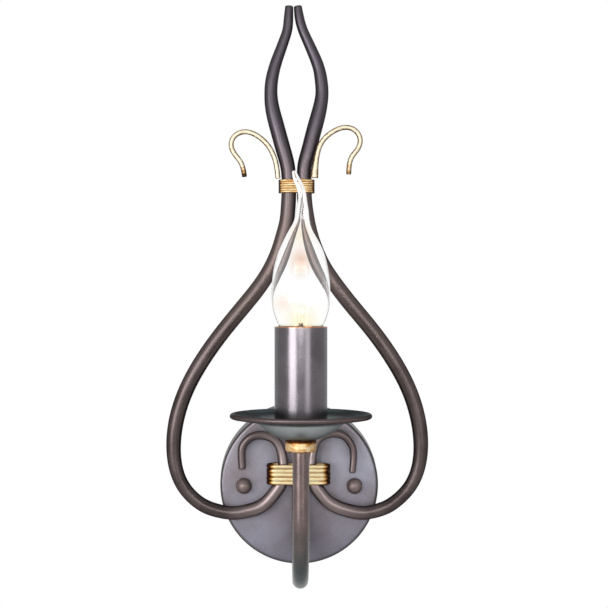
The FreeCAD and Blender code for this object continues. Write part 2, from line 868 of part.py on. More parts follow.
def make_nipple_set():
    """Hollow nipple from the arm's rear leg through the canopy, with spacer, earth tag, washer and nut."""
    z = -S["nipple_drop"]
    radius, fit = S["nipple_radius"], S["fit_gap"]
    front = FRAME_Y + S["arm_radius"] - S["arm_wall"] - fit * 2
    length = -(front - INNER_FACE_Y) + S["nipple_inside"]
    back = front + length
    outer = cylinder("nipple_outer", radius, length, ZERO, back, z, "y")
    bore = cylinder("nipple_inner", S["nipple_bore"], length, ZERO, back, z, "y")
    keep(cut("nipple_hollow", outer, bore), "arm_nipple")
    # The stack inside the canopy, outwards to the wall: earth tag, washer, nut.
    clear = radius + fit
    spacer_length = S["rod_standoff"] - S["arm_radius"] - fit
    ring_piece("nipple_spacer", S["spacer_radius"], clear, spacer_length, -S["canopy_depth"], z)
    tag_back = INNER_FACE_Y + S["tag_sheet"]
    washer_back = tag_back + S["washer_height"]
    nut_back = washer_back + S["nut_height"]
    tag_ring = cylinder("earth_tag_ring", S["tag_radius"], S["tag_sheet"], ZERO, tag_back, z, "y")
    tail = doc.addObject("Part::Box", "earth_tag_strip")
    bind(tail, "Length", S["tag_radius"] + S["tag_tail"])
    bind(tail, "Width", S["tag_sheet"])
    bind(tail, "Height", S["tag_tail_width"])
    place(tail, -(S["tag_radius"] + S["tag_tail"]), INNER_FACE_Y, z - S["tag_tail_width"] / 2)
    hole = cylinder("earth_tag_bore", clear, S["tag_sheet"], ZERO, tag_back, z, "y")
    keep(cut("earth_tag_whole", fused("earth_tag_blank", [tag_ring, tail]), hole), "earth_tag")
    ring_piece("nipple_washer", S["washer_radius"], clear, S["washer_height"], washer_back, z)
    hexagon = prism("nipple_nut_hexagon", S["nut_width"], S["nut_height"], ZERO, nut_back, z, "y")
    hole = cylinder("nipple_nut_bore", clear, S["nut_height"], ZERO, nut_back, z, "y")
    keep(cut("nipple_nut_whole", hexagon, hole), "nipple_nut")


def ring_piece(name, outer, inner, length, y, z):
    """A plain ring that lies along -y from y."""
    ring_body = cylinder(name + "_disc", outer, length, ZERO, y, z, "y")
    bore = cylinder(name + "_hole", inner, length, ZERO, y, z, "y")
    keep(cut(name + "_ring", ring_body, bore), name)


def make_arm():
    """Bent steel tube: threaded front leg under the candle, half-round bend, closed rear leg in the binding."""
    body = new_body("arm_tube")
    for word, radius, top, add in (
        ("outer", S["arm_radius"], S["arm_rear_top"], True),
        ("bore", S["arm_radius"] - S["arm_wall"], S["arm_rear_top"] - S["arm_wall"] * 2, False),
    ):
        path = body.newObject("Sketcher::SketchObject", "arm_path_" + word)
        path.AttachmentSupport = [(origin_feature(body, "YZ_Plane"), "")]
        path.MapMode = "FlatFace"
        bend_z = -S["arm_bend_drop"]
        points = [(CANDLE_Y, ARM_TOP), (CANDLE_Y, bend_z), (FRAME_Y, bend_z), (FRAME_Y, top)]
        vectors = [FreeCAD.Vector(u.value, v.value, 0) for u, v in points]
        centre = (vectors[1] + vectors[2]) / 2
        bend = Part.Circle(centre, FreeCAD.Vector(0, 0, 1), S["arm_bend_radius"].value)
        path.addGeometry(Part.LineSegment(vectors[0], vectors[1]), False)
        path.addGeometry(Part.ArcOfCircle(bend, math.pi, 2 * math.pi), False)
        path.addGeometry(Part.LineSegment(vectors[2], vectors[3]), False)
        path.addConstraint(Sketcher.Constraint("Coincident", 0, 2, 1, 1))
        path.addConstraint(Sketcher.Constraint("Coincident", 1, 2, 2, 1))
        for index, position, (u, v) in ((0, 1, points[0]), (0, 2, points[1]), (2, 1, points[2]), (2, 2, points[3])):
            bind_sketch(path, Sketcher.Constraint("DistanceX", -1, 1, index, position, u.value), u)
            bind_sketch(path, Sketcher.Constraint("DistanceY", -1, 1, index, position, v.value), v)
        bind_sketch(path, Sketcher.Constraint("DistanceY", -1, 1, 1, 3, bend_z.value), bend_z)
        section = body.newObject("Sketcher::SketchObject", "arm_section_" + word)
        section.AttachmentSupport = [(origin_feature(body, "XY_Plane"), "")]
        section.MapMode = "FlatFace"
        section.setExpression(".AttachmentOffset.Base.z", ARM_TOP.formula)
        circle = Part.Circle(FreeCAD.Vector(0, CANDLE_Y.value, 0), FreeCAD.Vector(0, 0, 1), radius.value)
        section.addGeometry(circle, False)
        bind_sketch(section, Sketcher.Constraint("Radius", 0, radius.value), radius)
        bind_sketch(section, Sketcher.Constraint("DistanceX", -1, 1, 0, 3, 0), ZERO)
        bind_sketch(section, Sketcher.Constraint("DistanceY", -1, 1, 0, 3, CANDLE_Y.value), CANDLE_Y)
        kind = "PartDesign::AdditivePipe" if add else "PartDesign::SubtractivePipe"
        pipe = body.newObject(kind, "arm_pipe_" + word)
        pipe.Profile = section
        pipe.Spine = path
    # The wires leave through a hole in the back of the rear leg, where the nipple enters.
    hole = [(ZERO, -S["nipple_drop"], S["nipple_radius"] + S["fit_gap"])]
    drilled(body, "arm_wire_hole", "XZ_Plane", hole, S["arm_radius"], -FRAME_Y)
    keep(body, "arm_tube")


def make_collar():
    """Gilded collar nut under the pan, with a rounded belly."""
    bottom = S["pan_floor_height"] - S["collar_height"]
    bore = S["arm_radius"] + S["fit_gap"]
    radius, soft = S["collar_radius"], S["collar_round"]
    small = soft / 2
    body = revolved(
        "gold_collar",
        "XZ_Plane",
        "V_Axis",
        [
            (bore, bottom),
            (radius - soft, bottom, soft, -1),
            (radius, bottom + soft),
            (radius, S["pan_floor_height"] - small, small, -1),
            (radius - small, S["pan_floor_height"]),
            (bore, S["pan_floor_height"]),
        ],
    )
    keep(place(body, ZERO, CANDLE_Y, ZERO), "gold_collar")


def make_drip_pan():
    """Spun pan: flat floor, bowl, dished flange and rolled rim."""
    bore = S["arm_radius"] + S["fit_gap"]
    floor, thick = S["pan_floor_height"], S["pan_sheet"]
    flat, bowl, depth, curve = (
        S[name] for name in ("pan_floor_radius", "pan_bowl_radius", "pan_bowl_depth", "pan_bowl_curve")
    )
    bead = S["pan_bead_radius"]
    rim = S["pan_radius"] - bead
    rim_z = floor + depth + S["pan_rim_rise"]
    body = revolved(
        "drip_pan",
        "XZ_Plane",
        "V_Axis",
        [
            (bore, floor),
            (flat, floor, curve, -1),
            (bowl, floor + depth),
            (rim, rim_z - bead, bead, -1),
            (rim + bead, rim_z, bead, -1),
            (rim, rim_z + bead),
            (rim - bead, rim_z + thick - bead / 2),
            (bowl, floor + depth + thick, curve - thick, 1),
            (flat, floor + thick),
            (bore, floor + thick),
        ],
    )
    keep(place(body, ZERO, CANDLE_Y, ZERO), "drip_pan")


def sleeve_bottom():
    """Height where the sleeve's lower edge meets the bowl, with the seat gap, from the bowl's curve."""
    flat, bowl, depth, curve = (
        S[name] for name in ("pan_floor_radius", "pan_bowl_radius", "pan_bowl_depth", "pan_bowl_curve")
    )
    # Centre of the bowl's arc, from its two ends.
    half_u, half_v = (bowl.value - flat.value) / 2, depth.value / 2
    half = math.hypot(half_u, half_v)
    far = math.sqrt(curve.value**2 - half * half)
    centre_u = flat.value + half_u - far * half_v / half
    centre_v = half_v + far * half_u / half
    inner_curve = curve.value - S["pan_sheet"].value
    rise = centre_v - math.sqrt(inner_curve**2 - (S["sleeve_radius"].value - centre_u) ** 2)
    return S["pan_floor_height"].value + rise + S["seat_gap"].value


def make_candle_sleeve():
    """Painted tube round the lampholder, which stands on the bowl of the pan."""
    height = SLEEVE_TOP.value - sleeve_bottom()
    radius, wall = millimetres("sleeve_radius", "sleeve_wall")
    tube = Part.makeCylinder(radius, height)
    bore = Part.makeCylinder(radius - wall, height)
    shape = tube.cut(bore)
    top_edges = [edge for edge in shape.Edges if edge.isClosed() and near(edge.CenterOfMass.z, height)]
    shape = shape.makeFillet(wall * 0.3, top_edges)
    free_shape("candle_sleeve", shape, ZERO, CANDLE_Y, SLEEVE_TOP - height)


def make_lampholder():
    """E14 candle lampholder: insulating body with centring ribs, brass shell and centre contact."""
    fit = S["fit_gap"]
    bore = S["arm_radius"] + fit
    socket = S["holder_radius"] - S["holder_wall"]
    base_top = PAN_TOP + S["holder_base_height"]
    widening = S["holder_radius"] - S["holder_base_radius"]
    body = revolved(
        "lampholder_body",
        "XZ_Plane",
        "V_Axis",
        [
            (bore, PAN_TOP),
            (S["holder_base_radius"], PAN_TOP),
            (S["holder_base_radius"], base_top),
            (S["holder_radius"], base_top + widening),
            (S["holder_radius"], HOLDER_TOP),
            (socket, HOLDER_TOP),
            (socket, PARTITION_TOP),
            (S["contact_stem_radius"] + fit, PARTITION_TOP),
            (S["contact_stem_radius"] + fit, CHAMBER_TOP),
            (S["chamber_radius"], CHAMBER_TOP),
            (S["chamber_radius"], CHAMBER_BOTTOM),
            (bore, CHAMBER_BOTTOM),
        ],
    )
    rib_reach = S["sleeve_radius"] - S["sleeve_wall"] - S["seat_gap"]
    rib_start = S["holder_radius"] - fit
    half = S["holder_rib_width"] / 2
    sketch = outline(
        body, "XY_Plane", "rib_outline", [(rib_start, -half), (rib_reach, -half), (rib_reach, half), (rib_start, half)]
    )
    sketch.setExpression(".AttachmentOffset.Base.z", (base_top + widening).formula)
    rib = padded(body, "lampholder_rib", sketch, HOLDER_TOP - base_top - widening * 2)
    ribs = body.newObject("PartDesign::PolarPattern", "lampholder_ribs")
    ribs.Originals = [rib]
    ribs.Axis = (sketch, ["N_Axis"])
    ribs.Angle = 360
    ribs.Occurrences = RIB_COUNT
    body.Tip = ribs
    keep(place(body, ZERO, CANDLE_Y, ZERO), "lampholder_body")
    shell_outer = socket - fit
    shell = revolved(
        "socket_shell",
        "XZ_Plane",
        "V_Axis",
        [
            (shell_outer - S["shell_sheet"], PARTITION_TOP + S["shell_lift"]),
            (shell_outer, PARTITION_TOP + S["shell_lift"]),
            (shell_outer, HOLDER_TOP),
            (shell_outer - S["shell_sheet"], HOLDER_TOP),
        ],
    )
    keep(place(shell, ZERO, CANDLE_Y, ZERO), "socket_shell")
    stem = cylinder("contact_stem", S["contact_stem_radius"], S["partition"] * 2, ZERO, CANDLE_Y, CHAMBER_TOP - S["partition"])
    head = cylinder(
        "contact_head", S["contact_head_radius"], S["contact_head_height"], ZERO, CANDLE_Y, PARTITION_TOP
    )
    keep(fused("contact_rivet", [stem, head]), "centre_contact")


def make_bulb():
    """Bent-tip candle bulb: glass, threaded cap, insulator, button, stem, leads and filament."""
    height, radius, bend, wall = millimetres("glass_height", "bulb_radius", "glass_tip_bend", "glass_wall")
    points = [FreeCAD.Vector(-share[2] * bend, 0, share[0] * height) for share in GLASS_SHARES]
    radii = [share[1] * radius for share in GLASS_SHARES]
    outer = tapered_bar(points, radii, FreeCAD.Vector(0, 1, 0))
    inner_count = sum(1 for share in GLASS_SHARES if share[0] < GLASS_CAVITY_END_SHARE)
    inner = tapered_bar(points[:inner_count], [r - wall for r in radii[:inner_count]], FreeCAD.Vector(0, 1, 0))
    free_shape("bulb_glass", outer.cut(inner), ZERO, CANDLE_Y, GLASS_BOTTOM)
    cap_top = GLASS_BOTTOM
    crest, root = S["cap_radius"], S["cap_radius"] - S["cap_thread_depth"]
    inside = root - S["cap_sheet"]
    thread = [(inside, cap_top), (inside, CAP_BOTTOM), (root, CAP_BOTTOM)]
    half_pitch = S["cap_thread_pitch"] / 2
    for number in range(CAP_THREADS):
        middle = CAP_BOTTOM + S["cap_thread_pitch"] * number + half_pitch
        thread += [(crest, middle), (root, middle + half_pitch)]
    thread.append((root, cap_top))
    cap = revolved("bulb_cap", "XZ_Plane", "V_Axis", thread)
    keep(place(cap, ZERO, CANDLE_Y, ZERO), "bulb_cap")
    insulator = revolved(
        "cap_insulator",
        "XZ_Plane",
        "V_Axis",
        [
            (ZERO, BUTTON_BOTTOM + S["button_height"]),
            (S["button_radius"], BUTTON_BOTTOM + S["button_height"]),
            (root, CAP_BOTTOM),
            (ZERO, CAP_BOTTOM),
        ],
    )
    keep(place(insulator, ZERO, CANDLE_Y, ZERO), "cap_insulator")
    button = cylinder("button_disc", S["button_radius"], S["button_height"], ZERO, CANDLE_Y, BUTTON_BOTTOM)
    keep(button, "cap_contact")
    stem_z = GLASS_BOTTOM
    flare = inside - S["fit_gap"]
    stem = revolved(
        "bulb_stem",
        "XZ_Plane",
        "V_Axis",
        [
            (ZERO, stem_z),
            (flare, stem_z),
            (S["stem_radius"], stem_z + flare),
            (S["stem_radius"] / 2, stem_z + S["stem_height"]),
            (ZERO, stem_z + S["stem_height"]),
        ],
    )
    keep(place(stem, ZERO, CANDLE_Y, ZERO), "bulb_stem")
    make_filament(stem_z)


def make_filament(stem_z):
    """Two lead wires that spread from the stem, and the filament bowed between them."""
    lead, spread, rise, thick = millimetres("lead_radius", "lead_spread", "lead_height", "filament_radius")
    stem_radius, stem_height, gap = millimetres("stem_radius", "stem_height", "fit_gap")
    start_x = stem_radius / 2 - lead - gap
    foot = stem_height + gap
    leads = []
    for side in (-1, 1):
        points = [
            FreeCAD.Vector(side * start_x, 0, foot),
            FreeCAD.Vector(side * start_x, 0, foot + rise / 4),
            FreeCAD.Vector(side * spread, 0, stem_height + rise),
        ]
        leads.append(wire_along(rounded_route(points, [rise / 3]), lead))
    free_shape("filament_leads", Part.makeCompound(leads), ZERO, CANDLE_Y, stem_z)
    end_z = stem_height + rise + lead + gap
    arch = Part.Arc(
        FreeCAD.Vector(-spread, 0, end_z), FreeCAD.Vector(0, 0, end_z + spread), FreeCAD.Vector(spread, 0, end_z)
    )
    free_shape("filament", wire_along([arch.toShape()], thick), ZERO, CANDLE_Y, stem_z)


def make_scroll_rod(side, word, crook_shares):
    """One forged rod: tip, flame, bow, loop and crook, bent in the plane of the frame."""
    rod, lean, top, flame, bow, bow_z, loop, lower, reach, rise = millimetres(
        "rod_radius",
        "frame_lean",
        "rod_top_height",
        "flame_half_width",
        "bow_half_width",
        "bow_height",
        "loop_depth",
        "lower_rod_offset",
        "crook_reach",
        "crook_rise",
    )
    upper = UPPER_OFFSET.value
    upper_z, lower_z = millimetres("upper_binding_height", "lower_binding_height")
    points, radii = [], []

    def stop(half, z, lean_share, thickness):
        points.append(FreeCAD.Vector(side * half - lean * lean_share, 0, z))
        radii.append(rod * thickness)

    for height, width, lean_share, thickness in FLAME_SHARES:
        stop(upper + width * (flame - upper), upper_z + height * (top - upper_z), lean_share, thickness)
    stop(upper, upper_z, UPPER_LEAN_SHARE, 1)
    for height, width, lean_share, thickness in BOW_SHARES:
        stop(upper + width * (bow - upper), bow_z + height * (upper_z - bow_z), lean_share, thickness)
    for drop, width, lean_share, thickness in LOOP_SHARES:
        stop(lower + width * (bow - lower), bow_z - drop * (bow_z + loop), lean_share, thickness)
    stop(lower, lower_z, LOWER_LEAN_SHARE, LOWER_THICKNESS_SHARES[side])
    for width, height, thickness in crook_shares:
        stop(lower + width * (reach - lower), lower_z + height * rise, CROOK_LEAN_SHARE, thickness)
    shape = tapered_bar(points, radii, FreeCAD.Vector(0, 1, 0))
    free_shape(word + "_scroll_rod", shape, ZERO, FRAME_Y)


def flame_side(z, radius, forward, gap):
    """Least half width at which a round wire clears the flame of a rod, at a height and a wire radius each side."""
    upper, upper_z = UPPER_OFFSET.value, S["upper_binding_height"].value
    top, flame, rod = millimetres("rod_top_height", "flame_half_width", "rod_radius")
    stations = [(upper_z, upper, rod)] + [
        (upper_z + height * (top - upper_z), upper + width * (flame - upper), rod * thickness)
        for height, width, _, thickness in reversed(FLAME_SHARES)
    ]
    least = 0
    for level in (z - radius, z, z + radius):
        for (low_z, low, thin), (high_z, high, thick) in zip(stations, stations[1:]):
            if low_z <= level <= high_z:
                share = (level - low_z) / (high_z - low_z)
                slope = math.atan2(abs(high - low), high_z - low_z)
                apart = (thin + share * (thick - thin) + radius + gap) / math.cos(slope)
                beside = math.sqrt(max(apart**2 - forward**2, 0))
                least = max(least, low + share * (high - low) + beside)
    return least


def make_gold_hook(side, word, shares):
    """Gilded wire hook beside the upper binding, a little in front of the rods."""
    radius, forward, foot, reach, rise, gap = millimetres(
        "hook_radius", "hook_forward", "hook_foot_half_width", "hook_reach", "hook_rise", "hook_gap"
    )
    lean = S["frame_lean"].value * UPPER_LEAN_SHARE
    forward *= HOOK_FORWARD_SHARES[side]
    foot_z = UPPER_TOP.value + radius
    radii = [radius] * len(shares)
    radii[0] *= HOOK_FOOT_SHARES[side]
    points = []
    for (out, up), thickness in zip(shares, radii):
        z = foot_z + up * rise
        half = max(foot + out * reach, flame_side(z, thickness, forward, gap))
        points.append(FreeCAD.Vector(side * half - lean, 0, z))
    shape = tapered_bar(points, radii, FreeCAD.Vector(0, 1, 0))
    free_shape(word + "_gold_hook", shape, ZERO, FRAME_Y - S["hook_forward"] * HOOK_FORWARD_SHARES[side])


UPPER_TOP = S["upper_binding_height"] + S["upper_wire_pitch"] * (UPPER_TURNS / 2) + S["upper_wire_radius"]


def make_bindings():
    """Gilded wires: one wound round the two rods, one round the rods and the arm's rear leg."""
    gap = S["binding_gap"].value
    wire, pitch, slack = millimetres("upper_wire_radius", "upper_wire_pitch", "upper_binding_slack")
    edges = winding(UPPER_TURNS, pitch, UPPER_OFFSET.value + slack, S["rod_radius"].value + gap + wire)
    report_gap("upper_binding", edges, pitch, wire)
    x = -S["frame_lean"] * UPPER_LEAN_SHARE
    free_shape("upper_binding", wire_along(edges, wire), x, FRAME_Y, S["upper_binding_height"])
    wire, pitch, half_width = millimetres("lower_wire_radius", "lower_wire_pitch", "lower_binding_half_width")
    end_radius = S["arm_radius"].value + gap + wire
    edges = winding(LOWER_TURNS, pitch, half_width - wire - end_radius, end_radius)
    report_gap("lower_binding", edges, pitch, wire)
    x = -S["frame_lean"] * LOWER_BINDING_LEAN_SHARE
    free_shape("lower_binding", wire_along(edges, wire), x, FRAME_Y, S["lower_binding_height"])


def report_gap(name, edges, pitch, wire):
    """Measures a winding's least gap to itself on points half a wire apart, and prints it."""
    points = []
    for edge in edges:
        points += edge.discretize(Number=max(2, math.ceil(edge.Length / (wire / 2))))[:-1]
    steps = [(after - before).Length for before, after in zip(points, points[1:])]
    gone = [0]
    for step in steps:
        gone.append(gone[-1] + step)
    least = math.inf
    for number, point in enumerate(points):
        for other in range(number + 1, len(points)):
            if gone[other] - gone[number] > 4 * pitch:
                least = min(least, (points[other] - point).Length)
    print("%s: least gap to itself %.2f mm" % (name, least - 2 * wire))


def make_wires():
    """Live and neutral through the arm to the terminal block, and the earth from its tag to its screw."""
    radius, bend, turn = millimetres("wire_radius", "wire_bend_radius", "wire_turn_radius")
    frame, candle = FRAME_Y.value, CANDLE_Y.value
    low = -S["nipple_drop"].value
    wide = S["pole_spacing"].value / 2
    near_x = S["wire_spacing"].value / 2
    start_z = CHAMBER_TOP.value - S["partition"].value - S["fit_gap"].value
    bend_z = -S["arm_bend_drop"].value
    reach = S["arm_bend_radius"].value
    block_z = BLOCK_BOTTOM.value
    for side, word in ((-1, "live_wire"), (1, "neutral_wire")):
        x = side * near_x
        front = FreeCAD.Vector(x, candle, bend_z)
        rear = FreeCAD.Vector(x, frame, bend_z)
        edges = [Part.LineSegment(FreeCAD.Vector(x, candle, start_z), front).toShape()]
        lowest = FreeCAD.Vector(x, (candle + frame) / 2, bend_z - reach)
        edges.append(Part.Arc(front, lowest, rear).toShape())
        points = [
            rear,
            FreeCAD.Vector(x, frame, low),
            FreeCAD.Vector(x, BLOCK_Y.value, low),
            FreeCAD.Vector(x, BLOCK_Y.value, block_z / 3),
            FreeCAD.Vector(side * wide, BLOCK_Y.value, block_z * 0.75),
            FreeCAD.Vector(side * wide, BLOCK_Y.value, block_z + S["block_height"].value / 3),
        ]
        edges += rounded_route(points, [bend, turn, turn, turn])
        free_shape(word, wire_along(edges, radius))
    tag_end = -(S["tag_radius"].value + S["tag_tail"].value)
    tag_y = INNER_FACE_Y.value + S["tag_sheet"].value + radius + S["fit_gap"].value
    clamp_x = -(S["earth_screw_place"] + S["earth_screw_radius"] + S["wire_radius"] + S["fit_gap"]).value
    clamp_y = -(S["strap_sheet"] + S["wire_radius"] + S["fit_gap"]).value
    strap = S["strap_height"].value
    points = [
        FreeCAD.Vector(tag_end / 2 - radius, tag_y, low),
        FreeCAD.Vector(tag_end - strap * 0.7, tag_y, low),
        FreeCAD.Vector(tag_end - strap * 0.7, tag_y / 2, low - strap * 0.7),
        FreeCAD.Vector(clamp_x, clamp_y, low - strap),
        FreeCAD.Vector(clamp_x, clamp_y, S["wire_radius"].value),
    ]
    free_shape("earth_wire", wire_along(rounded_route(points, [turn, turn, turn]), radius))


def write_parts():
    """Checks every object, then writes each sub-part to its own file."""
    doc.recompute()
    for thing in doc.Objects:
        if "Invalid" in thing.State or "Error" in thing.State:
            raise RuntimeError("%s failed: %s" % (thing.Name, thing.State))
    os.makedirs("parts", exist_ok=True)
    for thing in PARTS:
        if thing.Shape.isNull() or not thing.Shape.isValid():
            raise RuntimeError("%s has no valid shape" % thing.Label)
        thing.Shape.exportStep("parts/%s.step" % thing.Label)
    print("%d sub-parts written" % len(PARTS))


make_backplate()
make_wall_bracket()
make_fixing()
make_terminals()
make_nipple_set()
make_arm()
make_collar()
make_drip_pan()
make_candle_sleeve()
make_lampholder()
make_bulb()
make_scroll_rod(-1, "left", LEFT_CROOK_SHARES)
make_scroll_rod(1, "right", RIGHT_CROOK_SHARES)
make_gold_hook(-1, "left", LEFT_HOOK_SHARES)
make_gold_hook(1, "right", RIGHT_HOOK_SHARES)
make_bindings()
make_wires()
write_parts()
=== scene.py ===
"""Forged wall lamp: canopy, U-shaped arm with one candle bulb, and two scroll rods bound with gilded wire.

Axes as in the frame: +X to the right, -Y from the wall into the room, +Z up. Lengths are in metres; a value
written as mm(...) is the real size in millimetres.
"""

import json
import logging
import math
from collections.abc import Sequence
from dataclasses import dataclass
from enum import Enum

import bmesh
import bpy
import numpy as np
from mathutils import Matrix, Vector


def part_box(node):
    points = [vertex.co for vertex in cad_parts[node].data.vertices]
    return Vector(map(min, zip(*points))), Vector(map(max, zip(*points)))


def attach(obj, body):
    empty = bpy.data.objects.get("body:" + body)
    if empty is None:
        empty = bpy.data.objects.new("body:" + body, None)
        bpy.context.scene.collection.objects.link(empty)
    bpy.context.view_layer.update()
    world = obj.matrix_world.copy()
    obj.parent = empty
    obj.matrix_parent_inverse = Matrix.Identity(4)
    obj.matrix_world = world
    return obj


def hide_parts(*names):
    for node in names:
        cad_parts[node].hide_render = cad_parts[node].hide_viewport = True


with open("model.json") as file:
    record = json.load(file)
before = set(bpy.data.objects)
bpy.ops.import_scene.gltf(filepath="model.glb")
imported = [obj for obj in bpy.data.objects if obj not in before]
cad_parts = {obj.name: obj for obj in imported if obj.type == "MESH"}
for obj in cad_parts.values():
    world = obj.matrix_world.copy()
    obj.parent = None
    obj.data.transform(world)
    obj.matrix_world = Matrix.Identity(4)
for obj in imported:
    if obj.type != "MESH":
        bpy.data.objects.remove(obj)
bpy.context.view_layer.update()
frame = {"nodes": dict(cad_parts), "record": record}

log = logging.getLogger("wall_lamp")

Colour = tuple[float, float, float, float]
Point = tuple[float, float, float]
Material = bpy.types.Material
Piece = bpy.types.Object
Socket = bpy.types.NodeSocket
Tree = bpy.types.NodeTree

FULL_TURN = 2 * math.pi
WELD_DISTANCE = 1e-7
# Nearly all values of a noise lie in this band.
NOISE_BAND = {"from_min": 0.3, "from_max": 0.7}
# The colour sockets of a Mix node: its two inputs and its output.
MIX_FIRST, MIX_SECOND, MIXED = 6, 7, 2
# How often a wave texture of scale 1 repeats in a metre, roughly.
WAVES_PER_METRE = 3


def mm(*lengths: float) -> float | tuple[float, ...]:
    """Lengths in millimetres as metres.

    Args:
        lengths: one or more lengths in millimetres.

    Returns:
        The one length, or a tuple of them, in metres.
    """
    metres = tuple(length / 1000 for length in lengths)
    return metres[0] if len(metres) == 1 else metres


def linear(code: str) -> Colour:
    """An sRGB hex colour as linear light.

    A channel c becomes ((c + 0.055) / 1.055) to the power 2.4, or c / 12.92 where it is nearly black.

    Args:
        code: six hex digits, such as "5b5050".

    Returns:
        Linear red, green, blue and an alpha of 1.
    """
    channels = [int(code[start : start + 2], 16) / 255 for start in (0, 2, 4)]
    lit = [c / 12.92 if c <= 0.04045 else ((c + 0.055) / 1.055) ** 2.4 for c in channels]
    return (lit[0], lit[1], lit[2], 1.0)


class LatheAxis(Enum):
    """The line that a profile is turned about, or that a surface was spun about."""

    UPRIGHT = "Z"
    OUT_OF_WALL = "Y"


# Geometry


def middle(node: str) -> np.ndarray:
    """The centre of a CAD node's box at rest.

    Args:
        node: the node's name.

    Returns:
        The centre's x, y and z.
    """
    low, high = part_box(node)
    return (np.array(low) + np.array(high)) / 2


def rounded_profile(corners: Sequence[Point], steps: int = 6) -> np.ndarray:
    """A polyline through corners, each rounded by its own radius.

    A corner's arc runs between the points where a circle of that radius touches both sides; it is drawn as
    the quadratic curve through them with the corner as its control point.

    Args:
        corners: radius from the axis, height, and rounding of each corner; the first and last stay sharp.
        steps: pieces of each rounded corner.

    Returns:
        Points of the polyline, one row of (radius, height) each.
    """
    spots = np.array([corner[:2] for corner in corners])
    rows = [spots[0]]
    for before, spot, after, corner in zip(spots, spots[1:], spots[2:], corners[1:-1]):
        rounding = corner[2]
        if rounding <= 0:
            rows.append(spot)
            continue
        into = (spot - before) / np.linalg.norm(spot - before)
        out = (after - spot) / np.linalg.norm(after - spot)
        bend = math.acos(float(np.clip(into @ out, -1, 1)))
        reach = rounding * math.tan(bend / 2)
        share = np.linspace(0, 1, steps + 1)[:, None]
        first, last = spot - into * reach, spot + out * reach
        rows.extend((1 - share) ** 2 * first + 2 * share * (1 - share) * spot + share**2 * last)
    rows.append(spots[-1])
    return np.array(rows)


def subdivided(profile: np.ndarray, longest: float) -> np.ndarray:
    """A profile with its long straight runs divided, so that shading stays even.

    Args:
        profile: rows of (radius, height).
        longest: the longest run that stays whole.

    Returns:
        The profile with points added on its runs.
    """
    rows = [profile[:1]]
    for first, last in zip(profile, profile[1:]):
        pieces = max(1, math.ceil(np.linalg.norm(last - first) / longest))
        rows.append(first + (last - first) * np.linspace(0, 1, pieces + 1)[1:, None])
    return np.concatenate(rows)


def turned(profile: np.ndarray, axis: LatheAxis, centre: Point, segments: int) -> np.ndarray:
    """A profile carried round an axis.

    point(i, a) = centre + radius_i (cos a, sin a) across the axis + height_i along it.

    Args:
        profile: rows of (radius, height).
        axis: the line to turn about.
        centre: a point of that line, where the height is zero.
        segments: steps round the axis.

    Returns:
        A grid of points, rows along the profile and columns round the axis.
    """
    angle = np.linspace(0, FULL_TURN, segments + 1)
    across = profile[:, :1] * np.cos(angle)
    over = profile[:, :1] * np.sin(angle)
    height = np.repeat(profile[:, 1:], segments + 1, axis=1)
    order = [across, over, height] if axis is LatheAxis.UPRIGHT else [across, height, over]
    return np.stack(order, axis=-1) + np.array(centre)


def spline_through(points: np.ndarray, samples: int) -> np.ndarray:
    """A smooth line through points: a natural cubic spline over the length of the chords.

    Args:
        points: rows of numbers; the first three are a place, and any more, such as a radius, follow along.
        samples: how many rows to return, evenly spaced along the chords.

    Returns:
        The rows of the line.
    """
    gaps = np.linalg.norm(np.diff(points[:, :3], axis=0), axis=1)
    stops = np.concatenate([[0.0], np.cumsum(gaps)])
    count = len(points)
    system = np.eye(count)
    right = np.zeros_like(points)
    inner = np.arange(1, count - 1)
    system[inner, inner - 1] = gaps[:-1]
    system[inner, inner] = 2 * (gaps[:-1] + gaps[1:])
    system[inner, inner + 1] = gaps[1:]
    slopes = np.diff(points, axis=0) / gaps[:, None]
    right[1:-1] = 6 * np.diff(slopes, axis=0)
    bend = np.linalg.solve(system, right)
    at = np.linspace(0, stops[-1], samples)
    piece = np.clip(np.searchsorted(stops, at, side="right") - 1, 0, count - 2)
    width = gaps[piece][:, None]
    ahead = (stops[piece + 1] - at)[:, None]
    behind = (at - stops[piece])[:, None]
    curve = (bend[piece] * ahead**3 + bend[piece + 1] * behind**3) / (6 * width)
    first = (points[piece] / width - bend[piece] * width / 6) * ahead
    second = (points[piece + 1] / width - bend[piece + 1] * width / 6) * behind
    return curve + first + second


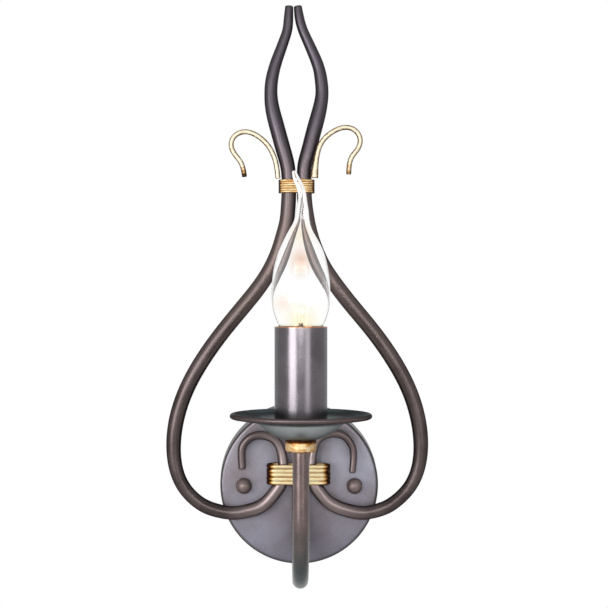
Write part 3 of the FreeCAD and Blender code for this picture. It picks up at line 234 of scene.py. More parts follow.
def bar(
    line: np.ndarray,
    side: Point,
    rounding: float = 0.0,
    segments: int = 32,
    steps: int = 5,
    flatness: float = 1.0,
) -> np.ndarray:
    """A round bar along a line, closed at both ends with a rounded edge.

    point(i, a) = place_i + radius_i (cos a · side_i + flatness sin a · cross_i), where side_i is the given
    side made square to the line there. The end rings shrink by rounding (1 - sin t) over a length of
    rounding (1 - cos t).

    Args:
        line: rows of (x, y, z, radius).
        side: a direction that is nowhere along the line.
        rounding: radius of the edge round each end.
        segments: steps round the bar.
        steps: rings in each rounded edge.
        flatness: how thick the bar is across that side, as a share of its width along it.

    Returns:
        A grid of points, rows along the bar, with a single spot in the first and last row.
    """
    gone = np.concatenate([[0.0], np.cumsum(np.linalg.norm(np.diff(line[:, :3], axis=0), axis=1))])
    length = gone[-1]
    turn = np.linspace(0, math.pi / 2, steps + 1)
    inset = rounding * (1 - np.cos(turn))
    whole = gone[(gone > rounding) & (gone < length - rounding)]
    at = np.concatenate([[0.0], inset, whole, (length - inset)[::-1], [length]])
    shrink = np.zeros_like(at)
    shrink[1 : steps + 2] = rounding * (1 - np.sin(turn))
    shrink[-steps - 2 : -1] = shrink[1 : steps + 2][::-1]
    rows = np.stack([np.interp(at, gone, line[:, column]) for column in range(4)], axis=1)
    radius = rows[:, 3] - shrink
    radius[[0, -1]] = 0.0
    slope = np.gradient(line[:, :3], gone, axis=0)
    along = np.stack([np.interp(at, gone, slope[:, column]) for column in range(3)], axis=1)
    along /= np.linalg.norm(along, axis=1, keepdims=True)
    square = np.array(side) - along * (along @ np.array(side))[:, None]
    square /= np.linalg.norm(square, axis=1, keepdims=True)
    cross = np.cross(along, square)
    angle = np.linspace(0, FULL_TURN, segments + 1)[None, :, None]
    ring = np.cos(angle) * square[:, None] + flatness * np.sin(angle) * cross[:, None]
    return rows[:, None, :3] + radius[:, None, None] * ring


def make_piece(
    name: str,
    grids: Sequence[np.ndarray],
    age: Sequence[np.ndarray] | None = None,
    sharp_degrees: float = 42.0,
) -> Piece:
    """Grids of points as one welded mesh whose faces point outwards.

    Args:
        name: the object's name.
        grids: arrays of (rows, columns, 3); seams and poles that coincide are welded.
        age: how much wax and painted shade darken each point, or painted glow tints it, from 0 to 1.
        sharp_degrees: edges that bend more than this stay sharp.

    Returns:
        The finished object, at the origin.
    """
    quads = []
    start = 0
    for grid in grids:
        rows, columns = grid.shape[:2]
        index = np.arange(rows * columns).reshape(rows, columns) + start
        corners = (index[:-1, :-1], index[:-1, 1:], index[1:, 1:], index[1:, :-1])
        quads.append(np.stack(corners, axis=-1).reshape(-1, 4))
        start += rows * columns
    mesh = bpy.data.meshes.new(name)
    places = np.concatenate([grid.reshape(-1, 3) for grid in grids])
    mesh.from_pydata(places.tolist(), [], np.concatenate(quads).tolist())
    if age is not None:
        layer = mesh.attributes.new("age", "FLOAT", "POINT")
        layer.data.foreach_set("value", np.concatenate([part.ravel() for part in age]).astype(np.float32))
    shell = bmesh.new()
    shell.from_mesh(mesh)
    bmesh.ops.remove_doubles(shell, verts=shell.verts, dist=WELD_DISTANCE)
    bmesh.ops.dissolve_degenerate(shell, edges=shell.edges, dist=WELD_DISTANCE)
    if shell.calc_volume(signed=True) < 0:
        bmesh.ops.reverse_faces(shell, faces=shell.faces)
    shell.to_mesh(mesh)
    shell.free()
    mesh.shade_smooth()
    mesh.set_sharp_from_angle(angle=math.radians(sharp_degrees))
    piece = bpy.data.objects.new(name, mesh)
    bpy.context.scene.collection.objects.link(piece)
    return piece


def finish_piece(piece: Piece, material: Material, body: str, nodes: Sequence[str]) -> None:
    """Dresses a piece and ties it to the frame.

    Args:
        piece: the object.
        material: its finish.
        body: the body that it rides on.
        nodes: CAD nodes that it stands for.
    """
    piece.data.materials.append(material)
    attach(piece, body)
    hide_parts(*nodes)
    log.info("%s: %d faces, on %s", piece.name, len(piece.data.polygons), body)


# Materials


def add_node(tree: Tree, kind: str, inputs: dict | None = None, **settings: object) -> bpy.types.Node:
    """Adds one shader node.

    Args:
        tree: the node tree.
        kind: the node's type name after its ShaderNode prefix.
        inputs: input name or number to what feeds it: a socket, a node for its first output, or a value.
        settings: node properties, or input values whose names have spaces written as underscores.

    Returns:
        The node.
    """
    node = tree.nodes.new("ShaderNode" + kind)
    sockets = {socket.name.replace(" ", "_").lower(): socket for socket in reversed(node.inputs)}
    for key, value in settings.items():
        if key in sockets:
            sockets[key].default_value = value
        else:
            setattr(node, key, value)
    for key, source in (inputs or {}).items():
        if isinstance(source, bpy.types.Node):
            source = source.outputs[0]
        if isinstance(source, Socket):
            tree.links.new(source, node.inputs[key])
        else:
            node.inputs[key].default_value = source
    return node


def grained(tree: Tree, where: Socket, size: float, height: float, detail: float) -> tuple[Socket, Socket]:
    """Adds a grain of a real size, and the relief that it gives the surface.

    Args:
        tree: the node tree.
        where: object coordinates.
        size: the grain's size.
        height: the relief's height.
        detail: how many finer layers the grain has.

    Returns:
        The grain, and the relief's normal.
    """
    grain = add_node(tree, "TexNoise", {"Vector": where}, scale=1 / size, detail=detail).outputs["Fac"]
    relief = add_node(tree, "Bump", {"Height": grain}, strength=1.0, distance=height)
    return grain, relief.outputs["Normal"]


def distance_from(tree: Tree, where: Socket, point: Point, axes: Point) -> Socket:
    """Adds the distance from a point, with each axis counted by its weight.

    Args:
        tree: the node tree.
        where: object coordinates.
        point: the point.
        axes: the weights of x, y and z.

    Returns:
        The distance.
    """
    away = add_node(tree, "VectorMath", {0: where, 1: point}, operation="SUBTRACT")
    counted = add_node(tree, "VectorMath", {0: away, 1: axes}, operation="MULTIPLY")
    return add_node(tree, "VectorMath", {0: counted}, operation="LENGTH").outputs["Value"]


class Measure(Enum):
    """What a shade goes by. A distance holds a point of its axis, and the weights of x, y and z."""

    HEIGHT = None
    FROM_CANOPY_AXIS = ((0.0, 0.0, 0.0), (1.0, 0.0, 1.0))
    FROM_CANDLE_AXIS = (mm(0, -124, 0), (1.0, 1.0, 0.0))


@dataclass(frozen=True)
class Shade:
    """A second colour that comes in along a piece: none before the start, all of it from the end on."""

    by: Measure
    start: float
    end: float
    colour: str

    def mixed(self, tree: Tree, where: Socket, colour: Socket) -> Socket:
        """Adds the shade to a colour.

        Args:
            tree: the node tree.
            where: object coordinates.
            colour: the first colour.

        Returns:
            The mixed colour.
        """
        if self.by is Measure.HEIGHT:
            level = add_node(tree, "SeparateXYZ", {"Vector": where}).outputs["Z"]
        else:
            level = distance_from(tree, where, *self.by.value)
        share = add_node(tree, "MapRange", {"Value": level}, from_min=self.start, from_max=self.end)
        tones = {"Factor": share, MIX_FIRST: colour, MIX_SECOND: linear(self.colour)}
        return add_node(tree, "Mix", tones, data_type="RGBA").outputs[MIXED]


@dataclass(frozen=True)
class Finish:
    """What every finish has: a name, and a surface that its own class describes."""

    name: str

    def surface(self, tree: Tree, where: Socket) -> dict:
        """Adds the nodes of the surface.

        Args:
            tree: the node tree.
            where: object coordinates.

        Returns:
            What feeds each input of the surface shader, by the input's name.
        """
        raise NotImplementedError

    def build(self) -> Material:
        """Builds the material: its surface, the shader and the output.

        Returns:
            The material.
        """
        material = bpy.data.materials.new(self.name)
        material.use_nodes = True
        tree = material.node_tree
        tree.nodes.clear()
        where = add_node(tree, "TexCoord").outputs["Object"]
        shader = add_node(tree, "BsdfPrincipled", self.surface(tree, where))
        add_node(tree, "OutputMaterial", {"Surface": shader})
        return material


@dataclass(frozen=True)
class BronzedLacquer(Finish):
    """Lacquer with bronze flakes, sprayed on steel, baked and rubbed.

    The flakes lie flat and mirror the lamps like dull metal, and the lacquer darkens where it is seen aslant.
    The eye gets broad soft highlights, dark flanks, clouds of thinner lacquer and a faint orange peel.
    """

    light: str
    dark: str
    metallic: float = 0.85
    roughness: float = 0.34
    aslant: str = "6a6464"
    spun_about: LatheAxis | None = None
    spun: float = 0.0
    gloss_band: tuple[float, float] = (-0.04, 0.05)
    shades: tuple[Shade, ...] = ()
    cloud_size: float = mm(16)
    cloud_breakup: float = 0.6
    tone_band: float = 0.2
    # Single flakes are too fine to show, so they are drawn as specks of this size.
    speck_size: float = mm(0.9)
    speck_share: float = 0.35
    peel_size: float = mm(1.8)
    peel_height: float = mm(0.004)

    def surface(self, tree: Tree, where: Socket) -> dict:
        """Mixes two tones by soft clouds and fine specks, with varied gloss and orange peel.

        The light tone's share is clouds + speck share · specks, stretched about its middle by the tone band.

        Args:
            tree: the node tree.
            where: object coordinates.

        Returns:
            What feeds each input of the surface shader, by the input's name.
        """
        coarse = {"scale": 1 / self.cloud_size, "detail": 4.0, "roughness": self.cloud_breakup}
        clouds = add_node(tree, "TexNoise", {"Vector": where}, **coarse).outputs["Fac"]
        specks = add_node(tree, "TexNoise", {"Vector": where}, scale=1 / self.speck_size, detail=2.0)
        parts = {0: specks.outputs["Fac"], 1: self.speck_share, 2: clouds}
        both = add_node(tree, "Math", parts, operation="MULTIPLY_ADD")
        centre = 0.5 + 0.5 * self.speck_share
        band = {"from_min": centre - self.tone_band, "from_max": centre + self.tone_band}
        share = add_node(tree, "MapRange", {"Value": both}, **band)
        tones = {"Factor": share, MIX_FIRST: linear(self.dark), MIX_SECOND: linear(self.light)}
        colour = add_node(tree, "Mix", tones, data_type="RGBA").outputs[MIXED]
        for shade in self.shades:
            colour = shade.mixed(tree, where, colour)
        low, high = self.gloss_band
        ends = {"to_min": self.roughness + low, "to_max": self.roughness + high}
        inputs = {
            "Base Color": colour,
            "Metallic": self.metallic,
            "Roughness": add_node(tree, "MapRange", {"Value": clouds}, **NOISE_BAND, **ends),
            "Specular Tint": linear(self.aslant),
            "Anisotropic": self.spun,
            "Normal": grained(tree, where, self.peel_size, self.peel_height, detail=2.0)[1],
        }
        if self.spun_about:
            axis = self.spun_about.value
            inputs["Tangent"] = add_node(tree, "Tangent", direction_type="RADIAL", axis=axis)
        return inputs


@dataclass(frozen=True)
class RubbedGilding(Finish):
    """Gold paint brushed on steel wire, then darkened with brown wax that stays in the hollows.

    The eye gets a pale warm gold on what stands proud and a burnt brown in grooves and at worn ends. The tan
    and dark tones also serve as painted shade on wire flanks and on the edges and ends of windings.
    """

    proud: str = "d4c69e"
    tan: str = "c08a48"
    # The darkest tone: wax in the hollows, and also painted shade on flanks, edges and ends.
    wax: str = "321609"
    stops: tuple[float, float, float] = (0.12, 0.5, 0.85)
    aslant: str = "6e5028"
    metallic: float = 0.4
    roughness: float = 0.48
    brush_size: float = mm(1.3)
    brush_stretch: Point = (0.25, 1.0, 1.0)
    brush_depth: float = 0.25
    grain_size: float = mm(0.5)
    grain_height: float = mm(0.05)

    def surface(self, tree: Tree, where: Socket) -> dict:
        """Runs from pale gold through tan to dark by the mesh's wax and painted shade, broken up by brush
        noise.

        Args:
            tree: the node tree.
            where: object coordinates.

        Returns:
            What feeds each input of the surface shader, by the input's name.
        """
        age = add_node(tree, "Attribute", attribute_name="age").outputs["Fac"]
        drawn = add_node(tree, "VectorMath", {0: where, 1: self.brush_stretch}, operation="MULTIPLY")
        brush = add_node(tree, "TexNoise", {"Vector": drawn}, scale=1 / self.brush_size, detail=4.0)
        ends = {"to_min": -self.brush_depth, "to_max": self.brush_depth}
        spread = add_node(tree, "MapRange", {"Value": brush.outputs["Fac"]}, **NOISE_BAND, **ends)
        worn = add_node(tree, "Math", {0: age, 1: spread}, operation="ADD")
        tone = add_node(tree, "ValToRGB", {"Fac": worn})
        elements = tone.color_ramp.elements
        elements.new(self.stops[1])
        for element, stop, colour in zip(elements, self.stops, (self.proud, self.tan, self.wax)):
            element.position = stop
            element.color = linear(colour)
        return {
            "Base Color": tone,
            "Metallic": self.metallic,
            "Roughness": self.roughness,
            "Specular Tint": linear(self.aslant),
            "Normal": grained(tree, where, self.grain_size, self.grain_height, detail=3.0)[1],
        }


@dataclass(frozen=True)
class PlatedMetal(Finish):
    """Zinc, tin, nickel or bare brass, drawn or stamped: a bright metal with fine handling marks."""

    light: str
    dark: str
    roughness: float = 0.3
    gloss_band: tuple[float, float] = (-0.08, 0.12)
    mark_size: float = mm(3)
    mark_height: float = mm(0.01)

    def surface(self, tree: Tree, where: Socket) -> dict:
        """Changes the tone slowly, and breaks the gloss by small marks.

        Args:
            tree: the node tree.
            where: object coordinates.

        Returns:
            What feeds each input of the surface shader, by the input's name.
        """
        marks, relief = grained(tree, where, self.mark_size, self.mark_height, detail=8.0)
        tones = {"Factor": marks, MIX_FIRST: linear(self.dark), MIX_SECOND: linear(self.light)}
        low, high = self.gloss_band
        ends = {"to_min": self.roughness + low, "to_max": self.roughness + high}
        return {
            "Base Color": add_node(tree, "Mix", tones, data_type="RGBA").outputs[MIXED],
            "Metallic": 1.0,
            "Roughness": add_node(tree, "MapRange", {"Value": marks}, **NOISE_BAND, **ends),
            "Normal": relief,
        }


@dataclass(frozen=True)
class MouldedPlastic(Finish):
    """Plastic or vitrite, moulded or extruded: an even tone with a fine texture from the tool."""

    light: str
    dark: str
    roughness: float = 0.5
    # The tool's grain is finer than this, and is drawn as coarse as it needs to show.
    grain_size: float = mm(0.6)
    grain_height: float = mm(0.02)
    stripe: str | None = None
    stripe_pitch: float = mm(3)

    def surface(self, tree: Tree, where: Socket) -> dict:
        """Mixes two near tones by the tool's grain, and stripes an earth wire.

        Args:
            tree: the node tree.
            where: object coordinates.

        Returns:
            What feeds each input of the surface shader, by the input's name.
        """
        grain, relief = grained(tree, where, self.grain_size, self.grain_height, detail=3.0)
        tones = {"Factor": grain, MIX_FIRST: linear(self.dark), MIX_SECOND: linear(self.light)}
        colour = add_node(tree, "Mix", tones, data_type="RGBA").outputs[MIXED]
        if self.stripe:
            waves = 1 / self.stripe_pitch / WAVES_PER_METRE
            bands = add_node(tree, "TexWave", {"Vector": where}, scale=waves)
            step = add_node(tree, "Math", {0: bands.outputs["Fac"]}, operation="GREATER_THAN")
            stripes = {"Factor": step, MIX_FIRST: colour, MIX_SECOND: linear(self.stripe)}
            colour = add_node(tree, "Mix", stripes, data_type="RGBA").outputs[MIXED]
        return {"Base Color": colour, "Roughness": self.roughness, "Normal": relief}


@dataclass(frozen=True)
class PaintedGlowSpot:
    """A patch of painted glow on the bulb's inner skin, strongest in its middle and gone at its reach."""

    middle: Point
    reach: float
    colour: str
    width: float = 1.0


@dataclass(frozen=True)
class BlownGlass(Finish):
    """Clear soda-lime glass, blown in a mould and drawn out at the tip.

    The inner skin carries painted glow: warm patches for the lit bulb's light. The eye gets slow waves in
    the wall, and those warm patches where the painted glow is strongest.
    """

    clear: str = "ffffff"
    # Painted glow: warm tints for the lit bulb's light in the glass.
    painted_glows: tuple[PaintedGlowSpot, ...] = (
        PaintedGlowSpot(mm(0, 0, 147), mm(13), "edccb4", 1.3),
        PaintedGlowSpot(mm(0, 0, 163), mm(12), "fbefdc"),
        PaintedGlowSpot(mm(-11, 0, 122), mm(9), "fdefe4"),
        PaintedGlowSpot(mm(0, 0, 111), mm(16), "faf4d4"),
    )
    ior: float = 1.5
    wave_size: float = mm(14)
    wave_height: float = mm(0.05)

    def surface(self, tree: Tree, where: Socket) -> dict:
        """Tints full transmission by the painted glow on the inner skin, where the mesh's mark is 1, with a
        slow ripple.

        A patch fades with the length of (width · x, 0, z) from its middle, so it lies on the front and the
        back.

        Args:
            tree: the node tree.
            where: object coordinates.

        Returns:
            What feeds each input of the surface shader, by the input's name.
        """
        age = add_node(tree, "Attribute", attribute_name="age").outputs["Fac"]
        colour = linear(self.clear)
        for glow_tint in self.painted_glows:
            apart = distance_from(tree, where, glow_tint.middle, (glow_tint.width, 0.0, 1.0))
            fade = {"interpolation_type": "SMOOTHSTEP", "from_min": glow_tint.reach, "from_max": 0.0}
            spot = add_node(tree, "MapRange", {"Value": apart}, **fade)
            share = add_node(tree, "Math", {0: spot, 1: age}, operation="MULTIPLY")
            tones = {"Factor": share, MIX_FIRST: colour, MIX_SECOND: linear(glow_tint.colour)}
            colour = add_node(tree, "Mix", tones, data_type="RGBA").outputs[MIXED]
        return {
            "Base Color": colour,
            "Roughness": 0.0,
            "IOR": self.ior,
            "Transmission Weight": 1.0,
            "Normal": grained(tree, where, self.wave_size, self.wave_height, detail=1.0)[1],
        }


@dataclass(frozen=True)
class GlowingTungsten(Finish):
    """Coiled tungsten wire at white heat: the eye gets its own warm light on a dark drawn wire."""

    wire: str = "3a3634"
    roughness: float = 0.45
    glow: str = "ffc98a"
    strength: float = 12.0

    def surface(self, tree: Tree, where: Socket) -> dict:
        """Gives the glow to a drawn wire.

        Args:
            tree: the node tree; not used.
            where: object coordinates; not used.

        Returns:
            What feeds each input of the surface shader, by the input's name.
        """
        return {
            "Base Color": linear(self.wire),
            "Metallic": 1.0,
            "Roughness": self.roughness,
            "Emission Color": linear(self.glow),
            "Emission Strength": self.strength,
        }


class Finishes:
    """The finishes of the pieces that this script makes, each built once."""

    def __init__(self) -> None:
        """Builds the finishes."""
        self.bronze = BronzedLacquer(
            "bronze_lacquer_on_forged_steel",
            "544b4a",
            "3f3737",
            metallic=0.9,
            roughness=0.37,
            aslant="554f4f",
            speck_share=0.2,
            peel_height=mm(0.001),
            shades=(
                # Painted light: a lighter, warmer tone from mid-height up, for the lit bulb's warm light on
                # the rods.
                Shade(Measure.HEIGHT, mm(60), mm(130), "574d4b"),
                # Painted shade: a darker, cooler tone on the flames, where they catch less of the lamps.
                Shade(Measure.HEIGHT, mm(170), mm(240), "443f45"),
                # Painted highlight: a lighter tone on the crooks and inner loops near the canopy's middle.
                Shade(Measure.FROM_CANOPY_AXIS, mm(52), mm(24), "776b6a"),
            ),
        ).build()
        # Painted light: the rods' bronze lacquer in a lighter copy, so that the ball nuts look brighter lit.
        self.knob = BronzedLacquer(
            "bronze_lacquer_on_turned_brass", "7d6f6c", "675a58", metallic=0.6, roughness=0.45
        ).build()
        self.arm = BronzedLacquer(
            "bronze_lacquer_on_tube_bend",
            "6e5f5c",
            "524645",
            metallic=0.7,
            roughness=0.26,
            aslant="ffffff",
            # Painted reflection: a darker grey-green on the lower bend, where the tube faces downwards.
            shades=(Shade(Measure.HEIGHT, mm(-8), mm(-40), "3a3f40"),),
        ).build()
        self.canopy = BronzedLacquer(
            "bronze_lacquer_on_pressed_steel",
            "91919d",
            "7c7376",
            metallic=0.45,
            aslant="2a2626",
            spun_about=LatheAxis.OUT_OF_WALL,
            spun=0.5,
            cloud_size=mm(30),
            shades=(
                # Painted shade: darker towards the bottom of the face.
                Shade(Measure.HEIGHT, mm(15), mm(-110), "4a4654"),
                # Painted shade: a dark band on the rounded rim; then a mid tone again on the side wall.
                Shade(Measure.FROM_CANOPY_AXIS, mm(50.5), mm(52.8), "3f3a3c"),
                Shade(Measure.FROM_CANOPY_AXIS, mm(53.0), mm(53.6), "5c5659"),
            ),
        ).build()
        self.pan = BronzedLacquer(
            "bronze_lacquer_on_spun_steel",
            "5b6466",
            "4a5254",
            aslant="6a6668",
            spun_about=LatheAxis.UPRIGHT,
            spun=0.5,
            cloud_size=mm(20),
            shades=(
                # Painted light: a paler bowl underside, for light from below.
                Shade(Measure.HEIGHT, mm(53.5), mm(51), "969b9c"),
                Shade(Measure.FROM_CANDLE_AXIS, mm(40.6), mm(41.4), "554b4b"),
            ),
        ).build()
        self.sleeve = BronzedLacquer(
            "bronze_lacquer_on_candle_tube",
            "646064",
            "545054",
            metallic=1.0,
            roughness=0.26,
            aslant="f4f8f6",
            cloud_size=mm(24),
            speck_share=0.2,
            peel_height=mm(0.0015),
            # Painted glow: a copper tone along the top edge, for the lit bulb's light on the rim.
            shades=(Shade(Measure.HEIGHT, mm(107.2), mm(107.9), "b07a56"),),
        ).build()
        self.gilding = RubbedGilding("gold_paint_waxed").build()
        self.pale_gilding = RubbedGilding("gold_paint_thin_waxed", "d6cbb4", "a07c4e", "2e261b").build()
        self.zinc = PlatedMetal("zinc_plated_steel", "c9cbcc", "9da1a5").build()
        self.nickel = PlatedMetal("nickelled_brass_rolled", "d2cec5", "aaa59b", roughness=0.22).build()
        self.glass = BlownGlass("soda_lime_glass_blown").build()
        self.tungsten = GlowingTungsten("tungsten_glowing").build()


def dress_frame(finishes: Finishes) -> None:
    """Dresses the CAD nodes that show as they are, by their material slots.

    Args:
        finishes: the finishes that they share with the pieces of this script.
    """
    by_slot = {
        "bronze_paint": finishes.bronze,
        "zinc_steel": finishes.zinc,
        "nickelled_brass": finishes.nickel,
        "clear_glass": finishes.glass,
        "tinned_brass": PlatedMetal("tinned_brass_stamped", "cfcbbd", "a8a291").build(),
        "brass": PlatedMetal("brass_stamped", "d9b36a", "b48a45").build(),
        "nickel_wire": PlatedMetal("nickel_wire_drawn", "efe9d6", "d8d0ba").build(),
        "block_plastic": MouldedPlastic("polyamide_white_moulded", "ecebe4", "dcdad0").build(),
        "holder_plastic": MouldedPlastic("phenolic_black_moulded", "2a2829", "1a191a", 0.42).build(),
        "black_glass": MouldedPlastic("vitrite_black_pressed", "1d1b22", "121116", 0.15).build(),
        "brown_sheath": MouldedPlastic("pvc_brown_extruded", "6a3a1c", "59300f", 0.35).build(),
        "blue_sheath": MouldedPlastic("pvc_blue_extruded", "2c63b0", "23549c", 0.35).build(),
        "green_yellow_sheath": MouldedPlastic(
            "pvc_green_yellow_extruded", "3f9a3a", "348730", 0.35, stripe="e8d430"
        ).build(),
    }
    for subpart in frame["record"]["subparts"]:
        finish = by_slot.get(subpart["material_slot"])
        if finish is None:
            continue
        for slot in frame["nodes"][subpart["node"]].material_slots:
            slot.material = finish
        log.info("%s dressed as %s", subpart["node"], finish.name)


# Pieces


class Side(Enum):
    """The two hand-bent halves of the lamp."""

    LEFT = -1
    RIGHT = 1

    @property
    def word(self) -> str:
        """The side's name in the frame."""
        return self.name.lower()


@dataclass
class Canopy:
    """Pressed canopy on the wall, with the two ball nuts that hold it and the studs that they turn on."""

    finishes: Finishes
    metal: float = mm(1.0)
    draft: float = mm(1.0)
    edge: float = mm(2.6)
    longest_run: float = mm(4)
    sides: int = 192
    knob_radius: float = mm(5.3)
    knob_foot: float = mm(3.4)
    bore_play: float = mm(0.3)
    bore_depth: float = mm(6.5)
    bore_point: float = mm(0.2)
    knob_rows: int = 28
    knob_sides: int = 48
    stud_radius: float = mm(1.9)
    thread_pitch: float = mm(0.7)
    thread_depth: float = mm(0.3)
    rows_per_pitch: int = 6
    stud_sides: int = 24

    def build(self) -> None:
        """Builds the canopy, its knobs and their studs.

        The canopy is the outline of its sheet, with rounded corners, turned about the wall's normal.
        """
        low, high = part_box("backplate")
        radius, depth = (high[0] - low[0]) / 2, -low[1]
        face = radius - self.draft
        shell = rounded_profile(
            [
                (0, -depth, 0),
                (face, -depth, self.edge),
                (radius, 0, self.metal / 3),
                (radius - self.metal, 0, self.metal / 3),
                (face - self.metal, self.metal - depth, self.edge - self.metal),
                (0, self.metal - depth, 0),
            ]
        )
        grid = turned(subdivided(shell, self.longest_run), LatheAxis.OUT_OF_WALL, (0, 0, 0), self.sides)
        piece = make_piece("canopy_shell", [grid])
        finish_piece(piece, self.finishes.canopy, "fixture", ["backplate"])
        for side in Side:
            self.build_knob(side.word)
        self.build_studs()

    def build_knob(self, word: str) -> None:
        """Builds one ball nut: a sphere flattened at its foot, with a blind bore.

        radius(t) = knob radius · sin t, height(t) = centre + knob radius · cos t, turned about its own axis.

        Args:
            word: left or right.
        """
        node = word + "_knob"
        low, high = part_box(node)
        x, z = middle(node)[[0, 2]]
        turn = np.linspace(math.pi, math.asin(self.knob_foot / self.knob_radius), self.knob_rows)
        centre = low[1] + self.knob_radius
        ball = np.stack([self.knob_radius * np.sin(turn), centre + self.knob_radius * np.cos(turn)], axis=1)
        ball[0, 0] = 0
        wall, end = self.stud_radius + self.bore_play, high[1] - self.bore_depth
        bore = np.array([(wall, high[1]), (wall, end), (0, end - self.bore_point)])
        grid = turned(np.concatenate([ball, bore]), LatheAxis.OUT_OF_WALL, (x, 0, z), self.knob_sides)
        finish_piece(make_piece(word + "_ball_nut", [grid]), self.finishes.knob, node, [node])

    def build_studs(self) -> None:
        """Builds both threaded studs: radius(h, a) = crest - depth · wave(h / pitch - a / turn)."""
        low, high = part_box("bracket_studs")
        rows = int((high[1] - low[1]) / self.thread_pitch * self.rows_per_pitch)
        height = np.linspace(low[1], high[1], rows)[:, None]
        angle = np.linspace(0, FULL_TURN, self.stud_sides + 1)[None, :]
        wave = 0.5 - 0.5 * np.cos(FULL_TURN * (height / self.thread_pitch) - angle)
        radius = self.stud_radius - self.thread_depth * wave
        radius[[0, -1]] = 0
        across, over = radius * np.cos(angle), radius * np.sin(angle)
        place = np.broadcast_to(height, radius.shape)
        reach = high[0] - self.stud_radius
        grids = [np.stack([x + across, place, over], axis=-1) for x in (-reach, reach)]
        piece = make_piece("stud_threads", grids)
        finish_piece(piece, self.finishes.zinc, "fixture", ["bracket_studs"])


